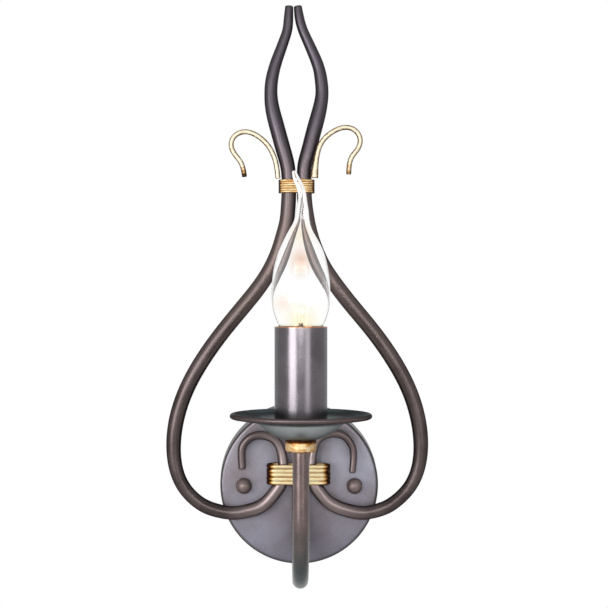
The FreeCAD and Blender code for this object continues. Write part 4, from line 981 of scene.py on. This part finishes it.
@dataclass
class Scrolls:
    """The two forged rods, bent in one plane: tip, flame, heart-shaped bow, lower loop and crook.

    Each table holds shares of the driving sizes, read from the tip down.
    """

    finishes: Finishes
    rod: float = mm(4.85)
    lean: float = mm(2)
    top: float = mm(320)
    flame: float = mm(17)
    bow: float = mm(82.3)
    bow_height: float = mm(26.4)
    loop: float = mm(17.1)
    upper_offset: float = mm(5.1)
    upper_height: float = mm(199.7)
    lower_offset: float = mm(9.65)
    lower_height: float = mm(8.45)
    crook_reach: float = mm(37.1)
    crook_rise: float = mm(26.2)
    crook_lean: float = 0.6
    end_round: float = mm(0.8)
    samples: int = 640
    sides: int = 40

    # Height, half width, lean and thickness shares of the flame.
    FLAME = (
        (1.0, -0.19, 1.95, 0.55), (0.92, -0.105, 1.7, 0.664), (0.865, 0.01, 1.4, 0.685),
        (0.81, 0.22, 1.2, 0.717), (0.755, 0.445, 1.05, 0.754), (0.7, 0.665, 0.95, 0.796),
        (0.643, 0.846, 0.9, 0.834), (0.588, 0.952, 0.95, 0.878), (0.52, 1.0, 0.95, 0.901),
        (0.45, 0.93, 1.05, 0.97), (0.367, 0.735, 1.1, 1.045), (0.284, 0.508, 1.1, 1.055),
        (0.2, 0.279, 1.05, 1.055), (0.118, 0.06, 1.05, 1.02), (0.0, 0.0, 0.9, 1.0),
    )
    # The same four shares of the bow.
    BOW = (
        (0.967, 0.001, 0.9, 1.02), (0.909, 0.011, 0.8, 1.02), (0.863, 0.026, 0.7, 1.02),
        (0.814, 0.053, 0.75, 1.02), (0.756, 0.095, 0.65, 1.03), (0.698, 0.152, 0.56, 1.05),
        (0.641, 0.229, 0.4, 1.07), (0.564, 0.359, 0.4, 1.09), (0.449, 0.571, 0.4, 1.08),
        (0.334, 0.755, 0.45, 1.08), (0.219, 0.894, 0.55, 1.065), (0.104, 0.976, 0.65, 1.055),
        (0.0, 1.0, 0.7, 1.01),
    )
    # Drop, half width, lean and thickness shares of the loop.
    LOOP = (
        (0.274, 0.984, 0.75, 0.965), (0.579, 0.915, 0.85, 0.93), (0.827, 0.781, 0.95, 0.93),
        (0.904, 0.712, 0.9, 0.94), (0.98, 0.59, 0.75, 0.94), (1.012, 0.469, 0.4, 0.92),
        (0.982, 0.339, 0.3, 0.93), (0.905, 0.228, 0.35, 0.93), (0.809, 0.142, 0.45, 0.92),
        (0.698, 0.076, 0.55, 0.92), (0.579, 0.027, 0.6, 0.9),
    )
    # How much further each row of the loop drops on one side, as the hand bent it.
    SAG = {
        Side.LEFT: (0, 0, 0, 0, 0, 0, 0, 0.02, 0.015, 0, 0),
        Side.RIGHT: (0, 0, 0, 0, 0, 0, 0, 0.017, 0.028, 0.014, 0),
    }
    # Reach, rise and thickness shares of each crook.
    CROOK = {
        Side.LEFT: (
            (0.0, 0.0, 0.8), (0.002, 0.309, 0.7), (0.06, 0.611, 0.64), (0.191, 0.844, 0.6),
            (0.359, 0.947, 0.58), (0.566, 0.981, 0.57), (0.752, 0.939, 0.56), (0.894, 0.832, 0.55),
            (0.99, 0.668, 0.54), (1.006, 0.443, 0.52), (0.989, 0.118, 0.5),
        ),
        Side.RIGHT: (
            (0.0, 0.0, 0.72), (-0.002, 0.309, 0.6), (0.05, 0.65, 0.57), (0.17, 0.89, 0.56),
            (0.362, 1.0, 0.55), (0.596, 1.019, 0.54), (0.8, 0.943, 0.52), (0.92, 0.802, 0.5),
            (0.985, 0.664, 0.48), (1.011, 0.485, 0.47), (1.0, 0.282, 0.46), (0.978, 0.027, 0.45),
        ),
    }

    def line(self, side: Side) -> np.ndarray:
        """The rod's centre line and radius.

        x = side · half width - lean, y = the rods' plane and z = height, with a spline through all stations.

        Args:
            side: which rod.

        Returns:
            Rows of (x, y, z, radius) from the tip to the crook's end.
        """
        plane = middle(side.word + "_scroll_rod")[1]
        flame, bow, loop = (np.array(table) for table in (self.FLAME, self.BOW, self.LOOP))
        crook = np.array(self.CROOK[side])
        half = np.concatenate(
            [
                self.upper_offset + flame[:, 1] * (self.flame - self.upper_offset),
                self.upper_offset + bow[:, 1] * (self.bow - self.upper_offset),
                self.lower_offset + loop[:, 1] * (self.bow - self.lower_offset),
                self.lower_offset + crook[:, 0] * (self.crook_reach - self.lower_offset),
            ]
        )
        height = np.concatenate(
            [
                self.upper_height + flame[:, 0] * (self.top - self.upper_height),
                self.bow_height + bow[:, 0] * (self.upper_height - self.bow_height),
                self.bow_height - (loop[:, 0] + self.SAG[side]) * (self.bow_height + self.loop),
                self.lower_height + crook[:, 1] * self.crook_rise,
            ]
        )
        lean = np.concatenate([flame[:, 2], bow[:, 2], loop[:, 2], np.full(len(crook), self.crook_lean)])
        thick = np.concatenate([flame[:, 3], bow[:, 3], loop[:, 3], crook[:, 2]])
        x = side.value * half - self.lean * lean
        rows = np.stack([x, np.full_like(x, plane), height, self.rod * thick], axis=1)
        return spline_through(rows, self.samples)

    def build(self) -> None:
        """Builds both rods."""
        for side in Side:
            grid = bar(self.line(side), (0, 1, 0), self.end_round, self.sides)
            piece = make_piece(side.word + "_forged_rod", [grid])
            node = side.word + "_scroll_rod"
            finish_piece(piece, self.finishes.bronze, "fixture", [node])


@dataclass
class GildedHooks:
    """Small wire hooks beside the upper binding: a bowed stem, a round head and a short turned-back end."""

    finishes: Finishes
    wire: float = mm(1.68)
    reach: float = mm(32.6)
    rise: float = mm(30)
    foot: float = mm(11.07)
    lean: float = mm(1.8)
    foot_height: float = mm(205.92)
    end_round: float = mm(0.5)
    samples: int = 180
    sides: int = 24
    # Painted shade on the wire's flanks, where a round wire turns away from the lamps.
    painted_flank_shade: float = 1.1
    flank_falloff: float = 2.4
    worn_from: float = 0.88
    worn_over: float = 0.08

    # How much wax the turned-back end keeps.
    WORN_END = {Side.LEFT: 0.85, Side.RIGHT: 0.4}
    # Reach, rise and thickness shares from the foot to the end.
    SHARES = {
        Side.LEFT: (
            (0.04, -0.034, 1.0), (0.1, 0.38, 1.0), (0.24, 0.69, 1.0), (0.474, 0.92, 1.0), (0.71, 1.0, 1.0),
            (0.93, 0.9, 1.0), (0.995, 0.72, 1.0), (0.93, 0.52, 1.0), (0.8, 0.325, 1.0), (0.722, 0.0, 1.0),
        ),
        Side.RIGHT: (
            (0.021, -0.025, 1.55), (0.075, 0.46, 1.0), (0.18, 0.775, 1.0), (0.395, 0.99, 1.0),
            (0.625, 1.085, 1.0), (0.83, 1.035, 1.0), (0.95, 0.835, 1.0), (0.9, 0.61, 1.0),
            (0.785, 0.44, 1.0), (0.73, 0.24, 1.0), (0.718, 0.05, 1.0),
        ),
    }

    def build(self) -> None:
        """Builds both hooks; painted shade darkens their flanks, and wax darkens the turned-back end.

        x = side (foot + reach · share) - lean and z = foot height + rise · share, with a spline through them.
        darkening = painted flank shade · |sin a| to a power + the wax that the worn end keeps.
        """
        for side in Side:
            node = side.word + "_gold_hook"
            table = np.array(self.SHARES[side])
            x = side.value * (self.foot + table[:, 0] * self.reach) - self.lean
            z = self.foot_height + table[:, 1] * self.rise
            rows = np.stack([x, np.full_like(x, middle(node)[1]), z, self.wire * table[:, 2]], axis=1)
            grid = bar(spline_through(rows, self.samples), (0, 1, 0), self.end_round, self.sides)
            along = np.linspace(0, 1, grid.shape[0])[:, None]
            across = np.linspace(0, FULL_TURN, grid.shape[1])[None, :]
            flank = np.abs(np.sin(across)) ** self.flank_falloff
            worn = np.clip((along - self.worn_from) / self.worn_over, 0, 1)
            age = self.painted_flank_shade * flank + self.WORN_END[side] * worn
            piece = make_piece(side.word + "_gilded_hook", [grid], [age])
            finish_piece(piece, self.finishes.pale_gilding, "fixture", [node])


@dataclass
class Binding:
    """One gilded wire wound tightly round a bundle of rods, turn on turn."""

    finishes: Finishes
    node: str
    turns: int
    wire: float
    thickness: float
    age: float
    # How far in from each end the wax and the painted shade reach.
    end_wax_and_shade_reach: float
    seed: int
    samples_per_turn: int = 96
    sides: int = 20
    first_lap: float = -0.2
    play: float = 0.14
    end_round: float = mm(0.3)
    groove_wax: float = 0.45
    # Wax and painted shade at both ends, where the wire turns round the back.
    end_wax_and_shade: float = 1.3
    # Painted shade along the upper and lower edges of the winding.
    painted_edge_shade: float = 0.6
    edge_reach: float = 0.6

    def line(self) -> np.ndarray:
        """The wire's centre line: a long slot shape whose turns lie level in front and climb behind.

        The front run is straight, the ends are half circles, and the height rises by one wire over the back
        run. Each turn is pressed a little tighter or looser than the next.

        Returns:
            Rows of (x, y, z, radius).
        """
        low, high = (np.array(corner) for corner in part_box(self.node))
        centre = (low + high) / 2
        radius = (high[1] - low[1]) / 2 - self.thickness
        half = (high[0] - low[0]) / 2 - self.thickness - radius
        straight, arc = 2 * half, math.pi * radius
        laps = self.first_lap + np.linspace(0, self.turns, self.turns * self.samples_per_turn + 1)
        gone = np.mod(laps, 1) * (2 * (straight + arc))
        back = gone - straight - arc
        right = (gone - straight) / radius - math.pi / 2
        left = (back - straight) / radius + math.pi / 2
        stretches = [gone < straight, back < 0, back < straight]
        across = [gone - half, half + radius * np.cos(right), half - back]
        x = np.select(stretches, across, radius * np.cos(left) - half)
        y = np.select(stretches, [-radius, radius * np.sin(right), radius], radius * np.sin(left))
        pitch = (high[2] - low[2] - 2 * self.wire) / (self.turns - 1)
        z = low[2] + self.wire + pitch * (np.floor(laps) + np.clip(back / straight, 0, 1))
        z = np.clip(z, low[2] + self.wire, high[2] - self.wire)
        draw = np.random.default_rng(self.seed)
        # One draw for each half turn, from before the wire's start to past its end.
        stations = np.arange(-1, self.turns + 0.6, 0.5)
        sway = np.interp(laps, stations, draw.uniform(-1, 1, len(stations)))
        z = z + sway * self.wire * self.play
        return np.stack([centre[0] + x, centre[1] + y, z, np.full_like(x, self.wire)], axis=1)

    def build(self, name: str) -> None:
        """Builds the winding; wax darkens its grooves, painted shade its upper and lower edges, and both its
        ends.

        Args:
            name: the piece's name.
        """
        flatness = self.thickness / self.wire
        grid = bar(self.line(), (0, 0, 1), self.end_round, self.sides, flatness=flatness)
        low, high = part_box(self.node)
        groove = np.cos(np.linspace(0, FULL_TURN, grid.shape[1]))[None, :] ** 2
        from_middle = np.abs(grid[:, :, 0] - (low[0] + high[0]) / 2)
        end = np.clip((from_middle - (high[0] - low[0]) / 2) / self.end_wax_and_shade_reach + 1, 0, 1)
        to_edge = np.minimum(grid[:, :, 2] - low[2], high[2] - grid[:, :, 2])
        edge = np.clip(1 - to_edge / (self.edge_reach * self.wire), 0, 1)
        age = self.age + self.groove_wax * groove + self.end_wax_and_shade * end + self.painted_edge_shade * edge
        piece = make_piece(name, [grid], [age])
        finish_piece(piece, self.finishes.gilding, "fixture", [self.node])


@dataclass
class Arm:
    """Bent tube arm, and the gilded collar on which the pan sits."""

    finishes: Finishes
    tube: float = mm(5)
    rear_top: float = mm(13.6)
    bend_lead: float = mm(1)
    end_round: float = mm(0.6)
    sides: int = 48
    front_rows: int = 30
    bend_rows: int = 60
    rear_rows: int = 8
    collar_radius: float = mm(9.3)
    collar_round: float = mm(2.3)
    collar_play: float = mm(0.12)
    collar_run: float = mm(0.6)
    collar_sides: int = 120
    dent: float = mm(0.07)
    dents_from: float = mm(1)
    seed: int = 7
    least_wax: float = 0.2
    upper_darkening: float = 0.75
    upper_from: float = 0.62
    upper_over: float = 0.2
    lower_darkening: float = 0.35
    lower_from: float = 0.16
    lower_over: float = 0.12
    dent_wax: float = 0.12

    def build(self) -> None:
        """Builds the arm and its collar.

        The arm's line is two upright legs joined by a half circle: y = middle + bend · cos t, z = centre +
        bend · sin t.
        """
        low, high = (np.array(corner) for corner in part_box("arm_tube"))
        bend = (high[1] - low[1]) / 2 - self.tube
        front, rear = low[1] + self.tube, high[1] - self.tube
        centre = low[2] + self.tube + bend
        turn = np.linspace(math.pi, FULL_TURN, self.bend_rows)
        above = centre + self.bend_lead
        front_leg = np.linspace(high[2], above, self.front_rows)
        rear_leg = np.linspace(above, self.rear_top, self.rear_rows)
        round_bend = (front + rear) / 2 + bend * np.cos(turn)
        y = np.concatenate([np.full_like(front_leg, front), round_bend, np.full_like(rear_leg, rear)])
        z = np.concatenate([front_leg, centre + bend * np.sin(turn), rear_leg])
        line = np.stack([np.zeros_like(y), y, z, np.full_like(y, self.tube)], axis=1)
        piece = make_piece("arm_bent_tube", [bar(line, (1, 0, 0), self.end_round, self.sides)])
        finish_piece(piece, self.finishes.arm, "fixture", ["arm_tube"])
        self.build_collar(front)

    def build_collar(self, y: float) -> None:
        """Builds the collar: a turned ring, hammered all round and darker along both its edges.

        Each point of its outside moves away from the ring's middle by dent · the mean of three neighbouring
        random numbers.

        Args:
            y: where the arm's front leg stands.
        """
        low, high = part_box("gold_collar")
        bottom, top = low[2], high[2]
        bore = self.tube + self.collar_play
        profile = rounded_profile(
            [
                (bore, bottom, 0),
                (self.collar_radius, bottom, self.collar_round),
                (self.collar_radius, top, self.collar_round / 2),
                (bore, top, 0),
                (bore, bottom, 0),
            ],
            steps=8,
        )
        profile = subdivided(profile, self.collar_run)
        grid = turned(profile, LatheAxis.UPRIGHT, (0, y, 0), self.collar_sides)
        hammer = np.random.default_rng(self.seed).normal(0, 1, grid.shape[:2])
        hammer[:, -1] = hammer[:, 0]
        outside = (profile[:, 0] > bore + self.dents_from)[:, None]
        spread = (hammer + np.roll(hammer, 1, 0) + np.roll(hammer, 1, 1)) / 3 * outside
        spread[:, -1] = spread[:, 0]
        spread[[0, -1]] = 0
        away = grid - np.array([0, y, (bottom + top) / 2])
        grid = grid + away / np.linalg.norm(away, axis=2, keepdims=True) * spread[:, :, None] * self.dent
        share = np.clip((profile[:, 1] - bottom) / (top - bottom), 0, 1)[:, None]
        upper = self.upper_darkening * np.clip((share - self.upper_from) / self.upper_over, 0, 1)
        lower = self.lower_darkening * np.clip((self.lower_from - share) / self.lower_over, 0, 1)
        age = self.least_wax + upper + lower + self.dent_wax * np.abs(hammer)
        piece = make_piece("gilded_collar", [grid], [age])
        finish_piece(piece, self.finishes.gilding, "fixture", ["gold_collar"])


@dataclass
class Candle:
    """Spun drip pan and the painted tube that stands on it."""

    finishes: Finishes
    metal: float = mm(0.8)
    bore: float = mm(5.12)
    flat: float = mm(10.4)
    bowl: float = mm(26)
    bowl_depth: float = mm(9.7)
    bowl_curve: float = mm(36)
    bowl_rows: int = 16
    bead: float = mm(1.5)
    bead_start: float = -math.pi / 2 - 0.25
    bead_end: float = math.pi / 2 + 0.6
    bead_rows: int = 18
    lip_reach: float = 1.6
    lip_rise: float = 0.15
    longest_run: float = mm(2)
    pan_sides: int = 192
    tube_wall: float = mm(0.9)
    tube_round: float = 0.4
    tube_sides: int = 128

    def build(self) -> None:
        """Builds the pan and the sleeve."""
        self.build_pan()
        self.build_sleeve()

    def build_pan(self) -> None:
        """Builds the pan: floor, bowl, flange and rolled bead, with the spinning lathe's thickness all over.

        The bowl's arc lies at centre height minus the circle's own height at each radius; a radius shorter by
        the metal's thickness gives its upper face.
        """
        low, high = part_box("drip_pan")
        rim = (high[0] - low[0]) / 2 - self.bead
        rim_height = high[2] - self.bead - low[2]
        across = np.linspace(self.flat, self.bowl, self.bowl_rows)
        half_across, half_up = (self.bowl - self.flat) / 2, self.bowl_depth / 2
        half = math.hypot(half_across, half_up)
        faces = []
        for rise in (0, self.metal):
            curve = self.bowl_curve - rise
            far = math.sqrt(curve**2 - half**2)
            middle_across = self.flat + half_across - far * half_up / half
            middle_up = rise + half_up + far * half_across / half
            height = middle_up - np.sqrt(curve**2 - (across - middle_across) ** 2)
            faces.append(np.stack([across, height], axis=1))
        turn = np.linspace(self.bead_start, self.bead_end, self.bead_rows)
        bead = np.stack([rim + self.bead * np.cos(turn), rim_height + self.bead * np.sin(turn)], axis=1)
        lip = [(rim - self.bead * self.lip_reach, rim_height + self.metal * self.lip_rise)]
        inner = [(self.bore, self.metal), (self.bore, 0)]
        profile = np.concatenate([inner[1:], faces[0], bead, lip, faces[1][::-1], inner])
        place = (0, middle("drip_pan")[1], low[2])
        grid = turned(subdivided(profile, self.longest_run), LatheAxis.UPRIGHT, place, self.pan_sides)
        finish_piece(make_piece("spun_pan", [grid]), self.finishes.pan, "fixture", ["drip_pan"])

    def build_sleeve(self) -> None:
        """Builds the sleeve: the outline of a thin wall with rounded ends, turned about the candle's axis."""
        low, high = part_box("candle_sleeve")
        radius = (high[0] - low[0]) / 2
        soft = self.tube_wall * self.tube_round
        halfway = (low[2] + high[2]) / 2
        profile = rounded_profile(
            [
                (radius, halfway, 0),
                (radius, high[2], soft),
                (radius - self.tube_wall, high[2], soft),
                (radius - self.tube_wall, low[2], soft / 2),
                (radius, low[2], soft / 2),
                (radius, halfway, 0),
            ]
        )
        grid = turned(profile, LatheAxis.UPRIGHT, (0, middle("candle_sleeve")[1], 0), self.tube_sides)
        piece = make_piece("painted_sleeve", [grid])
        finish_piece(piece, self.finishes.sleeve, "sleeve", ["candle_sleeve"])


@dataclass
class Bulb:
    """Bent-tip candle bulb with a small screw cap."""

    finishes: Finishes
    radius: float = mm(17.5)
    height: float = mm(107)
    tip_bend: float = mm(4.3)
    tip_round: float = mm(0.9)
    cavity_end: float = 0.96
    cavity_closing: float = 0.02
    cavity_round: float = mm(0.01)
    samples: int = 260
    sides: int = 96
    cap_radius: float = mm(6.95)
    cap_wall: float = mm(1.2)
    cap_rows: int = 90
    cap_sides: int = 72
    thread_pitch: float = mm(2.82)
    thread_depth: float = mm(0.6)
    coil_turns: int = 60
    rows_per_turn: int = 10
    coil_radius: float = mm(0.33)
    coil_wire: float = mm(0.1)
    coil_room: float = mm(0.45)

    # Height, radius and tip bend shares of the glass, and the cavity's share of that radius.
    GLASS = (
        (0.0, 0.42, 0.0, 0.92), (0.028, 0.45, 0.0, 0.93), (0.07, 0.57, 0.0, 0.95), (0.128, 0.755, 0.0, 0.97),
        (0.2, 0.92, 0.0, 0.978), (0.27, 0.99, 0.0, 0.982), (0.335, 1.0, 0.0, 0.98), (0.44, 0.94, 0.0, 0.965),
        (0.565, 0.725, 0.0, 0.92), (0.65, 0.455, 0.0, 0.86), (0.715, 0.275, -0.12, 0.78),
        (0.785, 0.21, -0.19, 0.7), (0.825, 0.16, -0.22, 0.68), (0.9, 0.13, 0.04, 0.62),
        (0.96, 0.105, 0.7, 0.5), (1.0, 0.07, 1.0, 0.4),
    )

    def build(self) -> None:
        """Builds the glass, the threaded cap and the filament."""
        y = middle("bulb_cap")[1]
        self.build_glass(y)
        self.build_cap(y)
        self.build_filament(y)

    def build_glass(self, y: float) -> None:
        """Builds the glass: two skins joined at the neck, with a thin bore nearly to the tip's end.

        Each skin is a round bar along the same spline, and its radius there is that skin's own. The inner one
        closes by sin over the last stretch before the cavity's end.

        Args:
            y: the bulb's axis.
        """
        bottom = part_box("bulb_glass")[0][2]
        share, radius, bend, cavity = np.array(self.GLASS).T
        outer_radius = radius * self.radius
        rows = [-bend * self.tip_bend, np.full_like(share, y), bottom + share * self.height, outer_radius]
        line = spline_through(np.stack([*rows, radius * cavity * self.radius], axis=1), self.samples)
        skin_steps, cavity_steps = 6, 1
        skin = bar(line[:, :4], (0, 1, 0), self.tip_round, self.sides, skin_steps)[skin_steps + 1 :]
        to_end = self.cavity_end - (line[:, 2] - bottom) / self.height
        inside = line[to_end > 0][:, [0, 1, 2, 4]]
        closing = np.clip(to_end[to_end > 0] / self.cavity_closing, 0, 1)
        inside[:, 3] *= np.sin(closing * math.pi / 2)
        lining = bar(inside, (0, 1, 0), self.cavity_round, self.sides, cavity_steps)[cavity_steps + 1 :]
        neck = np.stack([skin[0], lining[0]])
        # The inner skin alone takes the painted glow.
        glow_tint = [np.zeros(skin.shape[:2]), np.ones(lining.shape[:2]), np.zeros(neck.shape[:2])]
        piece = make_piece("blown_glass", [skin, lining[:, ::-1], neck[::-1]], glow_tint, sharp_degrees=60)
        finish_piece(piece, self.finishes.glass, "bulb", ["bulb_glass"])

    def build_cap(self, y: float) -> None:
        """Builds the rolled cap: radius(h, a) = crest - depth · wave(h / pitch - a / turn).

        The wave fades to its mean at both ends.

        Args:
            y: the bulb's axis.
        """
        low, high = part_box("bulb_cap")
        height = np.linspace(low[2], high[2], self.cap_rows)[:, None]
        angle = np.linspace(0, FULL_TURN, self.cap_sides + 1)[None, :]
        wave = 0.5 - 0.5 * np.cos(FULL_TURN * height / self.thread_pitch - angle)
        fade = np.clip(np.minimum(height - low[2], high[2] - height) / self.thread_pitch, 0, 1)
        radius = self.cap_radius - self.thread_depth * (wave * fade + 0.5 * (1 - fade))
        skin, lining = (
            np.stack([r * np.cos(angle), y + r * np.sin(angle), np.broadcast_to(height, r.shape)], axis=-1)
            for r in (radius, np.full_like(radius, self.cap_radius - self.cap_wall))
        )
        ends = [np.stack([skin[0], lining[0]])[::-1], np.stack([skin[-1], lining[-1]])]
        piece = make_piece("rolled_cap", [skin, lining[:, ::-1], *ends])
        finish_piece(piece, self.finishes.nickel, "bulb", ["bulb_cap"])

    def build_filament(self, y: float) -> None:
        """Builds the filament: fine turns of tungsten round an arched line.

        place(t) = arch(t) + coil radius (cos u · outward + sin u · sideways), with u = 2π · turns · t.

        Args:
            y: the bulb's axis.
        """
        low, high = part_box("filament")
        spread = (high[0] - low[0]) / 2 - self.coil_room
        rise = high[2] - low[2] - self.coil_room
        share = np.linspace(0, 1, self.coil_turns * self.rows_per_turn)
        across, up = -np.cos(math.pi * share), np.sin(math.pi * share)
        coil = FULL_TURN * self.coil_turns * share
        arch = np.stack([spread * across, np.full_like(share, y), low[2] + rise * up], axis=1)
        outward = np.stack([across, np.zeros_like(share), up], axis=1)
        sideways = np.array([0, 1, 0])
        winding = self.coil_radius * (np.cos(coil)[:, None] * outward + np.sin(coil)[:, None] * sideways)
        line = np.concatenate([arch + winding, np.full((len(share), 1), self.coil_wire)], axis=1)
        piece = make_piece("coiled_filament", [bar(line, (0.1, 1, 0.1), segments=6, steps=1)])
        finish_piece(piece, self.finishes.tungsten, "bulb", ["filament"])


def shown_share(tree: Tree) -> bpy.types.Node:
    """Adds the test for a ray that shows what it meets.

    Args:
        tree: the node tree.

    Returns:
        A node whose output is 1 for camera, glossy and transmission rays, and 0 for the rest.
    """
    rays = add_node(tree, "LightPath").outputs
    seen = {0: rays["Is Camera Ray"], 1: rays["Is Transmission Ray"]}
    shown = {0: add_node(tree, "Math", seen, operation="MAXIMUM"), 1: rays["Is Glossy Ray"]}
    return add_node(tree, "Math", shown, operation="MAXIMUM")


@dataclass(frozen=True)
class SoftBox:
    """A rectangular soft lamp that faces the candle.

    The azimuth is in degrees to the right of straight out of the wall, the elevation in degrees above level,
    and the radiance is how bright its face is, where the white background is 1.
    """

    name: str
    azimuth: float
    elevation: float
    size: tuple[float, float]
    radiance: float


@dataclass
class Studio:
    """Pale floor, white surroundings, soft lamps and the camera."""

    floor_height: float = mm(-420)
    floor_reach: float = 1.0
    floor_fade: float = 0.3
    floor_white: str = "f2f1ef"
    floor_glow: float = 0.6
    surround: float = 0.06
    camera_place: Point = mm(-9.5, -931, 121.5)
    sensor: float = 36.0
    lens: float = 79.93
    shift: float = 0.0312
    lit_place: Point = (0.0, -0.1, 0.1)
    lamp_distance: float = 1.2
    lamps: tuple[SoftBox, ...] = (
        SoftBox("key_softbox", -36, 3, (0.66, 0.5), 11.0),
        SoftBox("overhead_softbox", -3, 27, (1.2, 0.2), 2.8),
        SoftBox("right_softbox", 28, 1, (0.4, 0.4), 4.7),
        SoftBox("front_softbox", 0, 9, (0.5, 0.14), 18.0),
    )

    def build(self) -> None:
        """Builds the studio."""
        bpy.context.scene.view_settings.view_transform = "Standard"
        self.build_surroundings()
        self.build_floor()
        for box in self.lamps:
            self.build_lamp(box)
        self.build_camera()

    def build_surroundings(self) -> None:
        """Makes the world white where it is seen, also in metal and glass, and plain light elsewhere."""
        world = bpy.data.worlds.new("studio_surroundings")
        bpy.context.scene.world = world
        world.use_nodes = True
        tree = world.node_tree
        tree.nodes.clear()
        level = add_node(tree, "MapRange", {"Value": shown_share(tree)}, to_min=self.surround, to_max=1.0)
        light = add_node(tree, "Background", {"Strength": level}, color=linear("ffffff"))
        add_node(tree, "OutputWorld", {"Surface": light})

    def build_floor(self) -> None:
        """Makes a wide pale floor well under the lamp: it takes the shadow and fades to white outwards."""
        spread = np.linspace(-self.floor_reach, self.floor_reach, 3)
        across, along = np.meshgrid(spread, spread, indexing="ij")
        grid = np.stack([across, along, np.full_like(across, self.floor_height)], axis=-1)
        floor = make_piece("studio_floor", [grid])
        material = bpy.data.materials.new("studio_floor_white")
        material.use_nodes = True
        tree = material.node_tree
        tree.nodes.clear()
        shown = shown_share(tree)
        paint = add_node(tree, "BsdfDiffuse", color=linear(self.floor_white))
        share = add_node(tree, "MapRange", {"Value": shown}, to_max=self.floor_glow)
        glow = add_node(tree, "Emission", {"Strength": share})
        both = add_node(tree, "AddShader", {0: paint, 1: glow})
        white = add_node(tree, "Emission", {"Strength": shown})
        where = add_node(tree, "TexCoord").outputs["Object"]
        apart = distance_from(tree, where, (0.0, 0.0, 0.0), (1.0, 1.0, 0.0))
        fade = {"interpolation_type": "SMOOTHSTEP", "from_min": self.floor_fade, "from_max": self.floor_reach}
        faded = add_node(tree, "MapRange", {"Value": apart}, **fade)
        ground = add_node(tree, "MixShader", {0: faded, 1: both, 2: white})
        add_node(tree, "OutputMaterial", {"Surface": ground})
        floor.data.materials.append(material)

    def build_lamp(self, box: SoftBox) -> None:
        """Adds one lamp.

        Its power is radiance · π · area. It stands at the lamp distance from the lit place, along
        (sin azimuth · cos elevation, -cos azimuth · cos elevation, sin elevation), and faces it.

        Args:
            box: its name, direction, size and brightness.
        """
        light = bpy.data.lights.new(box.name, "AREA")
        light.shape = "RECTANGLE"
        light.size, light.size_y = box.size
        light.energy = box.radiance * math.pi * box.size[0] * box.size[1]
        lamp = bpy.data.objects.new(box.name, light)
        bpy.context.scene.collection.objects.link(lamp)
        turn, rise = math.radians(box.azimuth), math.radians(box.elevation)
        way = np.array([math.sin(turn) * math.cos(rise), -math.cos(turn) * math.cos(rise), math.sin(rise)])
        lamp.location = np.array(self.lit_place) + way * self.lamp_distance
        lamp.rotation_euler = (math.pi / 2 - rise, 0.0, turn)

    def build_camera(self) -> None:
        """Stands the camera level with the bulb's lower part, a little to the left, as in the photograph."""
        view = bpy.data.cameras.new("photo_view")
        view.sensor_width, view.lens, view.shift_x = self.sensor, self.lens, self.shift
        camera = bpy.data.objects.new("photo_view", view)
        bpy.context.scene.collection.objects.link(camera)
        camera.location = self.camera_place
        camera.rotation_euler = (math.pi / 2, 0.0, 0.0)
        bpy.context.scene.camera = camera


def main() -> None:
    """Builds the studio and the lamp."""
    logging.basicConfig(level=logging.INFO, format="%(message)s")
    Studio().build()
    finishes = Finishes()
    dress_frame(finishes)
    Canopy(finishes).build()
    Scrolls(finishes).build()
    GildedHooks(finishes).build()
    upper = {"turns": 6, "wire": mm(0.77), "thickness": mm(0.52), "age": 0.22, "end_wax_and_shade_reach": mm(2), "seed": 3}
    lower = {"turns": 5, "wire": mm(1.35), "thickness": mm(0.75), "age": 0.0, "end_wax_and_shade_reach": mm(5.5), "seed": 5}
    Binding(finishes, "upper_binding", **upper).build("upper_wire_binding")
    Binding(finishes, "lower_binding", **lower).build("lower_wire_binding")
    Arm(finishes).build()
    Candle(finishes).build()
    Bulb(finishes).build()


if __name__ == "__main__":
    main()
